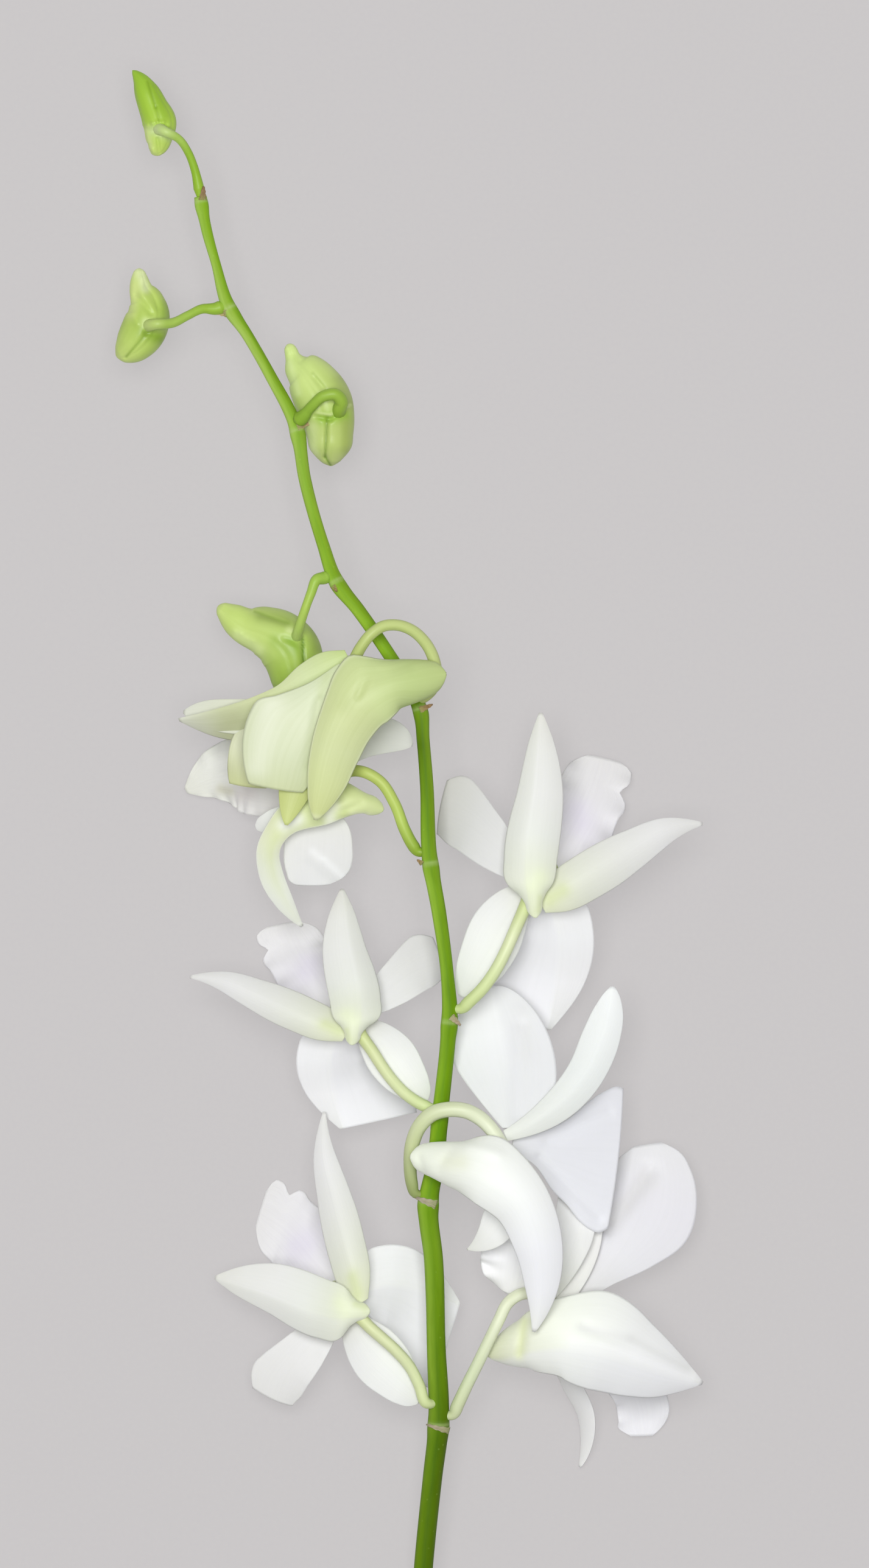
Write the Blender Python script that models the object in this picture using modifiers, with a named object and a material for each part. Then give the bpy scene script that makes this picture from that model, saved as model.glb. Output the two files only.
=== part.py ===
"""A cut spray of dendrobium orchid, lying on a table.

The plane of the spray is the XY plane: the stem runs along +Y from its cut end to its tip, and +Z is up
from the table. Each grown piece is an object of its own: the stem, the buds, and for each flower its
pedicel with the ovary, three sepals, two petals and the lip. Lengths in the tables are millimetres,
measured in the spray's own frame; the last step carries the whole spray to the origin of the part.
"""
import bpy
import numpy as np

MM = 0.001
UP = np.array([0.0, 0.0, 1.0])

# ---------------------------------------------------------------- driving dimensions, millimetres
TEPAL_THICKNESS = 0.8         # a sepal, petal or lip, with the play that a soft sheet needs
TEPAL_FACES = (4, 8) # faces across a tepal and along it
SPUR_FACES = (6, 9)  # the same for a sepal whose base closes into the spur
TABLE_CLEARANCE = 0.4         # lowest mid-surface of a tepal: half its thickness
LEAST_HALF_WIDTH = 0.3        # a tepal's tip
SPUR_BEND = 165               # degrees from the midrib to each rim where a spur is closed
SPUR_CLAW = 0.6               # half-width of the spur's nose
PEDICEL_RADIUS = 1.15
PEDICEL_FOOT_RADIUS = 1.0
OVARY_RADII = [1.35, 1.75, 1.7, 1.2]      # the last points of a flower's pedicel
BUD_PEDICEL_RADIUS = 1.35
STEM_POINTS = 50
BUD_POINTS = 14
BUD_LEAST_END = 0.8           # radius of the roundest end that a pointed bud has
BUD_CAP = 0.03                # share of the rings' half turn left to the flat caps
BUD_BEVEL = 4                 # bevel resolution: 12 sides
STALK_BEVEL = 2               # bevel resolution: 8 sides
PEDICEL_POINTS = 13

# ---------------------------------------------------------------- colours
GREEN_STEM = (0.20, 0.40, 0.05)
GREEN_PEDICEL = (0.55, 0.68, 0.30)
GREEN_BUD = (0.42, 0.64, 0.12)
CREAM_GREEN = (0.72, 0.80, 0.45)
WHITE = (0.86, 0.86, 0.83)

# ---------------------------------------------------------------- the spray's pieces, millimetres


def tepal(route, left, right, cup, roll=(0, 0), spur=0, claw=1.6, wave=(0, 0), start=0.0):
    """One sheet: the midrib's route, each side's (half-width, place of it, fullness), and the cup.

    cup and roll are degrees at the base and at the tip; spur is the share of the length in which the
    sheet is closed to a tube; wave is (height, count) of the ruffles; start is where the sheet begins.
    """
    return dict(route=route, left=left, right=right, cup=cup, roll=roll, spur=spur, claw=claw, wave=wave,
                start=start)


STEM = [(-5.5, -255, 2.9), (-4.6, -220, 8), (-2.6, -182, 13), (-0.4, -160, 16), (0.9, -148.5, 17.8),
        (0.5, -130, 20.5), (-0.1, -110, 23.3), (-1.6, -96, 25.2), (0.1, -88, 26.2), (1.6, -75, 27.7),
        (3.6, -60, 29), (3.9, -53, 29.5), (3.3, -44, 29.8), (1.5, -30, 30.2), (-0.9, -17, 30.5),
        (-1.75, 0, 30.6), (-2.55, 10, 30.4), (-3.3, 17, 30.2), (-5.6, 22, 29.9), (-10.6, 30, 29.3),
        (-17.6, 40, 28.5), (-22.9, 46.5, 28), (-25.6, 55, 27.4), (-29.9, 70, 26.2), (-32, 82.5, 25),
        (-37.9, 94.3, 24.1), (-42.9, 103.7, 23.4), (-47.8, 110.5, 23), (-50.6, 120, 22.6),
        (-52.6, 128, 22.3), (-54, 135.5, 22)]
STEM_RADII = [2.8, 2.8, 2.7, 2.4, 2.45, 2.2, 2.1, 2.5, 2.05, 1.9, 1.8, 2.1, 1.65, 1.6, 1.9, 1.65, 1.65,
              2, 1.8, 1.7, 1.7, 2, 1.7, 1.65, 1.95, 1.5, 1.5, 1.9, 1.45, 1.4, 1.3]

BUDS = {
    "bud_1": dict(
        spine=[(-64.6, 144.8, 22), (-63, 149.6, 22), (-64.8, 156, 22), (-69.4, 164, 22)],
        radii=[1.2, 3.6, 3.6, 0.4],
        pedicel=[(-54.25, 136.4, 22), (-55.3, 141.8, 22.8), (-56.8, 145.5, 24), (-59.2, 148.7, 25.6),
                 (-62, 149.8, 27.2)]),
    "bud_2": dict(
        spine=[(-67.8, 118.2, 21), (-66.3, 112, 21), (-65.7, 107, 21), (-68.2, 102.8, 21),
               (-72.2, 99.9, 21)],
        radii=[1.4, 4.2, 5, 4.8, 2.6],
        pedicel=[(-50.3, 109.6, 23.2), (-53.6, 109.3, 24), (-56.7, 107.7, 25), (-59.8, 106.4, 26.4),
                 (-64.2, 106.2, 27.6)]),
    "bud_3": dict(
        spine=[(-33.5, 100.8, 21.3), (-30, 95, 21.3), (-25.4, 88, 21.3), (-23.8, 80.5, 21.3),
               (-24, 73.2, 21.3)],
        radii=[1.5, 4.3, 6, 5.3, 2],
        pedicel=[(-30.6, 84.4, 26.7), (-27.6, 86.6, 29), (-24.8, 89, 31), (-22.7, 88.7, 31.6),
                 (-22.6, 87, 28.9)]),
    "bud_4": dict(
        spine=[(-49.4, 41, 18.7), (-43.6, 36.6, 18.7), (-34.4, 32, 18.7), (-32.4, 25, 18.7),
               (-33, 16.5, 18.7)],
        radii=[1.5, 4.9, 7, 6.3, 1.5],
        pedicel=[(-25.4, 47.2, 28.8), (-27.4, 46.6, 30), (-29.2, 42.8, 30.2), (-30.4, 39.1, 29.6),
                 (-31.5, 35, 26.4)]),
}

OPEN_FLOWER = {
    "left_sepal": tepal(
        [(23.3, -30.2, 37.5), (22.6, -25, 39.5), (22.7, -14, 37), (24.6, 0, 31), (24.5, 16.4, 23)],
        (6.8, 0.37, 0.6), (6.4, 0.37, 0.65), cup=(60, 30), spur=0.2, start=0.06),
    "right_sepal": tepal(
        [(25.2, -27, 34.5), (33, -22.8, 34), (45, -15.5, 31), (54, -10.3, 28), (61.7, -9.2, 25)],
        (5.9, 0.42, 0.75), (5.1, 0.4, 0.7), cup=(45, 30), claw=2.4, start=0.1),
    "dorsal_sepal": tepal(
        [(19.5, -22.5, 27.5), (14.9, -32, 28.4), (9.6, -41.5, 27.5), (5.8, -47.4, 25)],
        (7, 0.42, 0.5), (5.8, 0.35, 0.5), cup=(15, 15), claw=3, start=0.05),
    "left_petal": tepal(
        [(20, -23.5, 26.5), (9, -10, 22.5), (-1.6, -5, 16)],
        (9.2, 0.5, 0.5), (9.3, 0.68, 0.55), cup=(10, 20), start=0.1),
    "right_petal": tepal(
        [(24.5, -28, 26), (28, -42, 18), (26.3, -56.6, 9)],
        (9, 0.32, 0.65), (17, 0.78, 0.5), cup=(20, 15), start=0.02),
    "lip": tepal(
        [(25.3, -22.2, 24.3), (31, -12, 14), (37, -2, 5.5), (40.5, 5.8, 1.4)],
        (9.2, 0.7, 0.5), (9.2, 0.7, 0.5), cup=(60, 25), wave=(0.12, 5), start=0.08),
}

FLOWERS = {
    "flower_1": dict(
        colour=CREAM_GREEN,
        pedicel=[(-2.1, 20, 31.5), (0.6, 24, 32.6), (0.1, 29, 34), (-2.3, 32.9, 35.3),
                 (-5.3, 35.6, 36.5), (-8.6, 36.8, 37.5), (-11.8, 36.4, 38.3), (-14.6, 34.2, 38.7),
                 (-16.8, 31.4, 38.3), (-18.6, 28, 36.9),
                 (-21.2, 24, 35), (-23.4, 20.8, 32)],
        tepals={
            "right_sepal": tepal(
                [(2.7, 25.2, 39.2), (-6, 23.8, 43), (-14.5, 20.5, 45), (-20, 12.5, 44.5),
                 (-24, 1.5, 41.5), (-27.2, -8.2, 37.5)],
                (7.4, 0.4, 0.65), (7.4, 0.4, 0.65), cup=(75, 40), spur=0.35, start=0.02),
            "right_petal": tepal(
                [(-21.2, 27.2, 39.3), (-30, 13.5, 39.6), (-35.8, -0.8, 37)],
                (6.5, 0.5, 0.4), (11.2, 0.6, 0.32), cup=(35, 30), start=0.02),
            "dorsal_sepal": tepal(
                [(-20, 29.6, 36.5), (-31, 24.8, 36.5), (-42, 19.3, 34), (-58.8, 14.8, 27)],
                (10, 0.62, 0.8), (1.8, 0.3, 0.8), cup=(40, 25), start=0.08),
            "left_petal": tepal(
                [(-21, 27.4, 30.9), (-38, 18.6, 29.7), (-57.8, 16.6, 24)],
                (6, 0.5, 0.6), (3, 0.8, 0.7), cup=(20, 20), start=0.1),
            "left_sepal": tepal(
                [(-19.5, 23, 34), (-28, 9, 35.2), (-34, -9, 35)],
                (5, 0.5, 0.7), (5, 0.5, 0.7), cup=(30, 30), start=0.13),
            "lip": tepal(
                [(-24.5, 19.5, 29.1), (-32.5, 12.5, 26.9), (-41, 5, 25), (-44, -0.4, 23.5)],
                (8, 0.6, 0.4), (9.6, 0.6, 0.35), cup=(60, 30), wave=(0.06, 4), start=0.05),
        }),
    "flower_2": dict(
        pedicel=[(-3.8, -15.5, 29.8), (-5.2, -14, 30), (-6.9, -10.8, 30.4), (-9.4, -4.4, 30.8),
                 (-12.8, 0.5, 31), (-15.8, 2.5, 31), (-19, 3, 29), (-22.6, 1.2, 26.6),
                 (-26.5, -0.8, 24.4), (-29, -1.8, 23)],
        tepals={
            "right_sepal": tepal(
                [(-12.1, -6.4, 29.5), (-18, -4.4, 32.4), (-27, -5, 32.5), (-34.3, -8.8, 30.6),
                 (-37.6, -15.5, 28), (-36.4, -23, 23.5), (-31, -32.8, 15)],
                (4.7, 0.33, 1.1), (4.7, 0.33, 1.1), cup=(70, 40), roll=(5, 45), spur=0.3, start=0.04),
            "right_petal": tepal(
                [(-24.5, -4.5, 27.5), (-27, -14, 24.2), (-28.3, -23.4, 19)],
                (8.4, 0.6, 0.32), (8, 0.6, 0.32), cup=(15, 15), start=0.1),
            "dorsal_sepal": tepal(
                [(-26, -5, 24), (-33, -6.5, 22.5), (-41.5, -9.6, 18)],
                (3, 0.6, 0.6), (3, 0.6, 0.6), cup=(15, 15), start=0.1),
            "left_petal": tepal(
                [(-23, 3, 26), (-15, 9.4, 22.5), (-5.1, 9, 19)],
                (5.6, 0.6, 0.6), (3, 0.6, 0.6), cup=(15, 15), start=0.08),
            "left_sepal": tepal(
                [(-28.9, -0.3, 22.2), (-31.5, 4.5, 20.5), (-35.5, 9.5, 18), (-40, 14, 14)],
                (4.5, 0.45, 0.7), (4.5, 0.45, 0.7), cup=(40, 30), start=0.02),
            "lip": tepal(
                [(-29, -3, 22), (-38, -1, 13.5), (-48, 1, 6), (-57.3, -1.8, 2)],
                (7.4, 0.55, 0.5), (7.6, 0.72, 0.5), cup=(50, 20), wave=(0.12, 5), start=0.02),
        }),
    "flower_3": dict(
        pedicel=[(6.6, -51.2, 30.2), (8, -50, 31), (11, -47, 32), (14.2, -42.8, 32.8),
                 (16.8, -37.8, 33), (19, -32.8, 32.6), (20.7, -28.7, 31.6), (22.3, -24.8, 30),
                 (25, -21, 26.5), (27, -18.4, 23.8)],
        tepals=OPEN_FLOWER),
    "flower_4": dict(
        pedicel=[(-0.8, -74.6, 28), (-3.2, -73.5, 28.2), (-6.6, -71, 28.8), (-9.6, -68, 29.4),
                 (-12.1, -64.6, 29.8), (-14.4, -61.2, 30.1), (-16.6, -58.1, 29.9),
                 (-18.2, -55.2, 27.8), (-20.9, -52.4, 23.9), (-22.9, -50.5, 20.9)],
        tepals=OPEN_FLOWER,
        stance=dict(hub=(-19.1, -59.3, 28.5), mirror=-1, squash=0.73, lean=-0.12)),
    "flower_5": dict(
        pedicel=[(-4.6, -94.1, 25.9), (-5.4, -92, 26.4), (-6, -87.6, 27.6), (-5.4, -82.4, 29.4),
                 (-3.6, -78.6, 30.8), (-0.4, -75.9, 31.8), (3.5, -74.8, 32.3), (7.3, -75.1, 32.6),
                 (10.6, -76.6, 33.5),
                 (12.9, -78.8, 34.2), (15.2, -82.2, 33.6), (18, -87, 30.7), (20, -91, 27.2),
                 (21.4, -93.8, 24.2)],
        tepals={
            "right_sepal": tepal(
                [(-5.3, -85.4, 34.6), (3, -87, 39.3), (11.5, -89.5, 42.4), (19, -95, 42.8),
                 (23.3, -106, 40),
                 (24.2, -115, 36), (22.7, -125.4, 30.5)],
                (8.2, 0.33, 0.75), (6.8, 0.36, 0.75), cup=(75, 40), spur=0.3, start=0.08),
            "dorsal_sepal": tepal(
                [(16.2, -80.8, 32.2), (27, -74.8, 31), (34.2, -67.5, 29), (38.8, -58, 26),
                 (41.1, -46.8, 22)],
                (4.8, 0.68, 0.35), (4, 0.6, 0.35), cup=(30, 30), start=0.02),
            "left_petal": tepal(
                [(17.3, -79, 31), (16.5, -65, 25.3), (13, -46.8, 18)],
                (12.3, 0.62, 0.6), (11.3, 0.45, 0.5), cup=(15, 15), start=0.08),
            "right_petal": tepal(
                [(17.9, -83.1, 29.8), (30, -85, 22.5), (42.4, -86.8, 15.5)],
                (17.5, 0.88, 0.2), (16.4, 0.86, 0.22), cup=(15, 20), start=0.08),
            "left_sepal": tepal(
                [(17.3, -89.5, 27), (16.5, -96, 28), (13, -103.5, 25), (7.8, -107.4, 19)],
                (3.8, 0.55, 0.6), (3.8, 0.55, 0.6), cup=(30, 20), start=0.16),
            "lip": tepal(
                [(21, -93, 23.5), (21, -103, 17.5), (18, -118.2, 8)],
                (9.8, 0.62, 0.5), (11, 0.62, 0.4), cup=(60, 30), wave=(0.1, 4), start=0.04),
        }),
    "flower_6": dict(
        pedicel=[(-2, -142.8, 21.3), (-3.7, -138.8, 22.2), (-5.9, -134.4, 23.2), (-8.8, -130.2, 24.4),
                 (-12.4, -126.6, 24.9), (-14.8, -124.6, 24.9),
                 (-16.9, -122.8, 24.1), (-19.6, -120.6, 22.1), (-22.1, -117.5, 18.8),
                 (-23.8, -115.2, 16.3)],
        tepals=OPEN_FLOWER,
        stance=dict(hub=(-15.1, -120.3, 22.5), squash=0.73, lean=-0.08, scale=1.07, spin=83, depth=0.8)),
    "flower_7": dict(
        pedicel=[(4.4, -145.6, 18.9), (5.2, -143.6, 19.6), (7.5, -138.8, 21), (10, -133.7, 22.6),
                 (12.2, -128.6, 24), (14.4, -123.6, 25), (16.8, -119.9, 24.6),
                 (19.5, -118.4, 23.5), (22.5, -118.2, 21.3), (25.8, -119.1, 19.2), (28.6, -120.2, 17.2),
                 (31, -121.6, 14.6)],
        tepals={
            "right_sepal": tepal(
                [(12.4, -131.2, 20.5), (20, -130, 25.3), (29, -126.3, 29), (38, -127, 28.8),
                 (48, -132, 25.5), (61.8, -137.8, 17)],
                (9.6, 0.42, 0.75), (10.9, 0.5, 0.65), cup=(60, 30), spur=0.25, start=0.04),
            "left_sepal": tepal(
                [(28.8, -121.8, 15.4), (27.6, -131, 13.5), (31, -138.8, 11), (34.9, -148, 6),
                 (34.1, -158.8, 1.5)],
                (3.2, 0.5, 0.6), (3.2, 0.5, 0.6), cup=(30, 20), roll=(50, 50), start=0.02),
            "right_petal": tepal(
                [(30.5, -119.3, 16.6), (42, -110.5, 15.8), (49.5, -98, 13), (50, -82.8, 8)],
                (9.8, 0.65, 0.4), (10.4, 0.72, 0.4), cup=(15, 15), start=0.02),
            "dorsal_sepal": tepal(
                [(29, -119.5, 19.3), (34, -110.5, 20.3), (38.5, -97, 19.5)],
                (2.8, 0.5, 0.5), (2.8, 0.5, 0.5), cup=(30, 20), start=0.03),
            "left_petal": tepal(
                [(26.2, -118, 21.4), (30.3, -108, 25), (32.6, -100, 25.5), (30.2, -92.8, 24.8)],
                (5, 0.6, 0.6), (5, 0.6, 0.6), cup=(20, 20), start=0.01),
            "lip": tepal(
                [(30.9, -121.7, 14.3), (38.5, -131.5, 8.5), (47, -144, 3), (48.6, -152.4, 1)],
                (6.4, 0.75, 0.4), (6.4, 0.75, 0.4), cup=(50, 10), wave=(0.1, 4), start=0.02),
        }),
}

OPEN_FLOWER_HUB = np.array([23.2, -30.4, 30.0])


# ---------------------------------------------------------------- geometry
def unit(vectors):
    return vectors / np.linalg.norm(vectors, axis=-1, keepdims=True)


def smooth_curve(points, count, values=None):
    """A Hermite curve through the points, read at even steps of its length; values ride along."""
    rows = np.asarray(points, float)
    if values is not None:
        rows = np.hstack([rows, np.asarray(values, float)[:, None]])
    chords = np.linalg.norm(np.diff(rows[:, :3], axis=0), axis=1)
    knots = np.concatenate([[0], np.cumsum(chords)])
    slopes = np.gradient(rows, knots, axis=0, edge_order=2)
    along = np.linspace(0, knots[-1], 20 * len(rows))
    i = np.clip(np.searchsorted(knots, along, side="right") - 1, 0, len(knots) - 2)
    span = (knots[i + 1] - knots[i])[:, None]
    s = (along - knots[i])[:, None] / span
    dense = ((1 + 2 * s) * (1 - s) ** 2 * rows[i] + s * (1 - s) ** 2 * span * slopes[i]
             + s * s * (3 - 2 * s) * rows[i + 1] + s * s * (s - 1) * span * slopes[i + 1])
    steps = np.linalg.norm(np.diff(dense[:, :3], axis=0), axis=1)
    run = np.concatenate([[0], np.cumsum(steps)])
    even = np.linspace(0, run[-1], count)
    return np.stack([np.interp(even, run, column) for column in dense.T], 1)


def half_width(u, width, peak, fullness, claw):
    """A sine swelling that peaks at u = peak, on a claw that fades away from the base."""
    swell = np.sin(np.pi * u ** (np.log(0.5) / np.log(peak))).clip(0) ** fullness
    return np.maximum(width * swell + claw * (1 - u) ** 4, LEAST_HALF_WIDTH)


def tepal_surface(sheet, u, v):
    """Points of a sheet's middle: u runs 0 to 1 along the midrib, v from -1 (right) to 1 (left)."""
    path = smooth_curve(sheet["route"], 101)
    tangent = unit(np.gradient(path, axis=0))
    steps = np.linspace(0, 1, len(path))
    path = np.stack([np.interp(u, steps, column) for column in path.T], 1)
    tangent = unit(np.stack([np.interp(u, steps, column) for column in tangent.T], 1))
    level = unit(np.cross(UP, tangent))
    face = np.cross(tangent, level)
    roll = np.radians(np.interp(u, [0, 1], sheet["roll"]))[:, None]
    side = np.cos(roll) * level + np.sin(roll) * face
    outward = np.cos(roll) * face - np.sin(roll) * level
    bend = np.interp(u, [0, 1], sheet["cup"])
    claw = sheet["claw"]
    if sheet["spur"]:
        opened = np.clip(u / sheet["spur"], 0, 1)
        opened = opened * opened * (3 - 2 * opened)
        bend = SPUR_BEND + (bend - SPUR_BEND) * opened
        claw = SPUR_CLAW
    bend = np.radians(bend)
    half = np.where(v > 0, half_width(u, *sheet["left"], claw), half_width(u, *sheet["right"], claw))
    radius = half / np.sin(np.minimum(bend, np.pi / 2))
    height, count = sheet["wave"]
    ruffle = 3 * u * height * half * np.abs(v) ** 3 * np.sin(2 * np.pi * count * u)
    across = radius * np.sin(bend * v)
    rise = ruffle - radius * (1 - np.cos(bend * v))
    return path + side * across[:, None] + outward * rise[:, None]


def stand(points, hub, mirror=1, squash=1.0, lean=0.0, scale=1.0, spin=0.0, depth=1.0):
    """The open flower set at another hub: foreshortened by squash, leaning, and turned by spin."""
    x, y, z = (points - OPEN_FLOWER_HUB).T * scale
    x = x * mirror
    z = z * depth + y * lean
    y = y * squash
    angle = np.radians(spin)
    turned = [x * np.cos(angle) - y * np.sin(angle), x * np.sin(angle) + y * np.cos(angle), z]
    return np.stack(turned, 1) + np.array(hub)


# ---------------------------------------------------------------- objects
def clear_scene():
    for obj in list(bpy.data.objects):
        bpy.data.objects.remove(obj, do_unlink=True)


def material(name, colour, roughness):
    made = bpy.data.materials.new(name)
    made.use_nodes = True
    shader = made.node_tree.nodes["Principled BSDF"]
    shader.inputs["Base Color"].default_value = (*colour, 1)
    shader.inputs["Roughness"].default_value = roughness
    shader.inputs["Metallic"].default_value = 0
    return made


def settle(obj, parts, spray, colour, roughness):
    """File an object in the collection of parts, hang it on the spray and give it its material."""
    for owner in list(obj.users_collection):
        owner.objects.unlink(obj)
    parts.objects.link(obj)
    obj.parent = spray
    obj.data.materials.append(material(obj.name, colour, roughness))


def add_tube(name, rows, bevel_resolution):
    """A round body: a POLY curve whose bevel follows the fourth column of rows, at its first point."""
    foot = rows[0, :3]
    curve = bpy.data.curves.new(name, "CURVE")
    curve.dimensions = "3D"
    curve.bevel_depth = MM
    curve.bevel_resolution = bevel_resolution
    curve.use_fill_caps = True
    spline = curve.splines.new("POLY")
    spline.points.add(len(rows) - 1)
    spline.use_smooth = True
    for point, row in zip(spline.points, rows):
        point.co = (*(row[:3] - foot) * MM, 1)
        point.radius = row[3]
    obj = bpy.data.objects.new(name, curve)
    obj.location = foot * MM
    return obj


def add_bud(name, spine, radii):
    """A bud: a tube along its spine, rounded off at the spur and at the tip with closer rings there."""
    rows = smooth_curve(spine, 10 * BUD_POINTS, radii)
    steps = np.linalg.norm(np.diff(rows[:, :3], axis=0), axis=1)
    run = np.concatenate([[0], np.cumsum(steps)])
    from_spur = np.clip(run / max(radii[0], BUD_LEAST_END), 0, 1)
    from_tip = np.clip((run[-1] - run) / max(radii[-1], BUD_LEAST_END), 0, 1)
    rows[:, 3] *= np.sqrt(1 - (1 - from_spur) ** 2) * np.sqrt(1 - (1 - from_tip) ** 2)
    places = run[-1] * (1 - np.cos(np.pi * np.linspace(BUD_CAP, 1 - BUD_CAP, BUD_POINTS))) / 2
    rings = np.stack([np.interp(places, run, column) for column in rows.T], 1)
    return add_tube(name, rings, BUD_BEVEL)


def add_tepal(name, sheet, stance):
    """A tepal: a grid laid on the sheet's formula, thickened by Solidify, standing at its base."""
    across, along = SPUR_FACES if sheet["spur"] else TEPAL_FACES
    bpy.ops.mesh.primitive_grid_add(x_subdivisions=across, y_subdivisions=along, size=2)
    obj = bpy.context.object
    obj.name = name
    mesh = obj.data
    mesh.name = name
    flat = np.empty(3 * len(mesh.vertices))
    mesh.vertices.foreach_get("co", flat)
    flat = flat.reshape(-1, 3)
    u = sheet["start"] + (1 - sheet["start"]) * (flat[:, 1] + 1) / 2
    points = tepal_surface(sheet, u, -flat[:, 0])
    if stance:
        points = stand(points, **stance)
    points[:, 2] = np.maximum(points[:, 2], TABLE_CLEARANCE)
    foot = points[np.argmin(u + np.abs(flat[:, 0]))]
    mesh.vertices.foreach_set("co", ((points - foot) * MM).ravel())
    mesh.update()
    obj.location = foot * MM
    solid = obj.modifiers.new("thickness", "SOLIDIFY")
    solid.thickness = TEPAL_THICKNESS * MM
    solid.offset = 0
    mesh.shade_smooth()
    return obj


def pedicel_radii(count):
    radii = [PEDICEL_RADIUS] * count
    radii[0] = PEDICEL_FOOT_RADIUS
    radii[-len(OVARY_RADII):] = OVARY_RADII
    return radii


def carry_to_origin(spray, parts):
    """Move the spray so that the middle of the underside of its bounding box is the origin."""
    bpy.context.view_layer.update()
    graph = bpy.context.evaluated_depsgraph_get()
    low = np.full(3, np.inf)
    high = np.full(3, -np.inf)
    for obj in parts.objects:
        evaluated = obj.evaluated_get(graph)
        mesh = evaluated.to_mesh()
        points = np.empty(3 * len(mesh.vertices))
        mesh.vertices.foreach_get("co", points)
        points = points.reshape(-1, 3) + np.array(obj.matrix_world.translation)
        low = np.minimum(low, points.min(0))
        high = np.maximum(high, points.max(0))
        evaluated.to_mesh_clear()
    spray.location = (-(low[0] + high[0]) / 2, -(low[1] + high[1]) / 2, -low[2])


def main():
    clear_scene()
    parts = bpy.data.collections.new("dendrobium_spray")
    bpy.context.scene.collection.children.link(parts)
    spray = bpy.data.objects.new("spray_origin", None)
    bpy.context.scene.collection.objects.link(spray)

    stem = add_tube("stem", smooth_curve(STEM, STEM_POINTS, STEM_RADII), STALK_BEVEL)
    settle(stem, parts, spray, GREEN_STEM, 0.45)

    for name, bud in BUDS.items():
        settle(add_bud(name, bud["spine"], bud["radii"]), parts, spray, GREEN_BUD, 0.35)
        route = bud["pedicel"]
        rows = smooth_curve(route, PEDICEL_POINTS, [BUD_PEDICEL_RADIUS] * len(route))
        settle(add_tube(name + "_pedicel", rows, STALK_BEVEL), parts, spray, GREEN_PEDICEL, 0.4)

    for name, flower in FLOWERS.items():
        route = flower["pedicel"]
        rows = smooth_curve(route, PEDICEL_POINTS, pedicel_radii(len(route)))
        settle(add_tube(name + "_pedicel", rows, STALK_BEVEL), parts, spray, GREEN_PEDICEL, 0.4)
        for part, sheet in flower["tepals"].items():
            made = add_tepal(name + "_" + part, sheet, flower.get("stance"))
            settle(made, parts, spray, flower.get("colour", WHITE), 0.5)

    carry_to_origin(spray, parts)


main()
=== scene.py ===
# %% [markdown]
# # A cut spray of white dendrobium, dressed piece by piece
#
# The spray lies on a table and is seen from straight above. Its solids are packed already: one for the
# stem, and one for every bud, stalk, sepal, petal and lip. This lesson puts a fine surface in the place
# of each of those plain solids and gives each surface the finish of living tissue.
#
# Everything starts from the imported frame. Its boxes say where the pieces are, so nothing has to be
# fitted by eye.

import bpy
import numpy as np
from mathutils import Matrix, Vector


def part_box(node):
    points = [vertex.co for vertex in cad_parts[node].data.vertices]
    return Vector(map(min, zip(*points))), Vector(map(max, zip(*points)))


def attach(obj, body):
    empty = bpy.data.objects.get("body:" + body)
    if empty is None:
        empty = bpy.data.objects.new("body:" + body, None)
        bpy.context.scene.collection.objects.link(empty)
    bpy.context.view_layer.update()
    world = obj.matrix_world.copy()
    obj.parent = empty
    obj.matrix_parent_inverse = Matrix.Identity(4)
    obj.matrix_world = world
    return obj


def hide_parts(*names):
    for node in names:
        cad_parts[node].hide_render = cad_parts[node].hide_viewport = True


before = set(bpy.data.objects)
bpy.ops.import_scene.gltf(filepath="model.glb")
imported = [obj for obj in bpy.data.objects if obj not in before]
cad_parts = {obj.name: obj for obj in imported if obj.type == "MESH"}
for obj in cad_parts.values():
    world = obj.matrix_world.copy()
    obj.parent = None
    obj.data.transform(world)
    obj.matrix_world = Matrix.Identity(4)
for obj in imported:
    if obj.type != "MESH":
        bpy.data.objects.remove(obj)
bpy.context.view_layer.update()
MM = 0.001

# %% [markdown]
# ## The routes of the spray
#
# A plant is grown along curves: the stem is a line through its nodes, a stalk is an arch, and a petal is
# a sheet carried on its midrib. So each piece is written as a short list of points in millimetres, with
# a width, a cup and a roll. Simpler lists of the same kind made the solids. The routes could be read back
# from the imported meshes, but a mesh has lost the midrib, and the veins and the colours follow the midrib.
#
# x and y are across and along the spray, and z is up from the table.

# %% The sheet's description


def tepal(route, left, right, cup, roll=(0, 0), spur=0, claw=1.6, wave=(0, 0), fold=(0, 0)):
    """One sheet: the midrib's route, the half-widths of its left and right sides, and its form.

    A side is a list of (share of the length, half-width), or (half-width, place of it, fullness) for a
    plain swelling. cup and roll are degrees at the base and at the tip; spur is the share of the length
    in which the sheet is closed to a tube; wave is (height, count) of the ruffles; fold is (slope,
    place across) of a crease.
    """
    return dict(route=route, left=left, right=right, cup=cup, roll=roll, spur=spur, claw=claw, wave=wave,
                fold=fold)


print("a sheet is described by:", list(tepal([], (1, 0.5, 0.6), (1, 0.5, 0.6), (0, 0))))

# %% The stem's route


def run_length(points):
    """The length of a line through points, in millimetres."""
    return float(np.linalg.norm(np.diff(np.array(points, float), axis=0), axis=1).sum())


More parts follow.
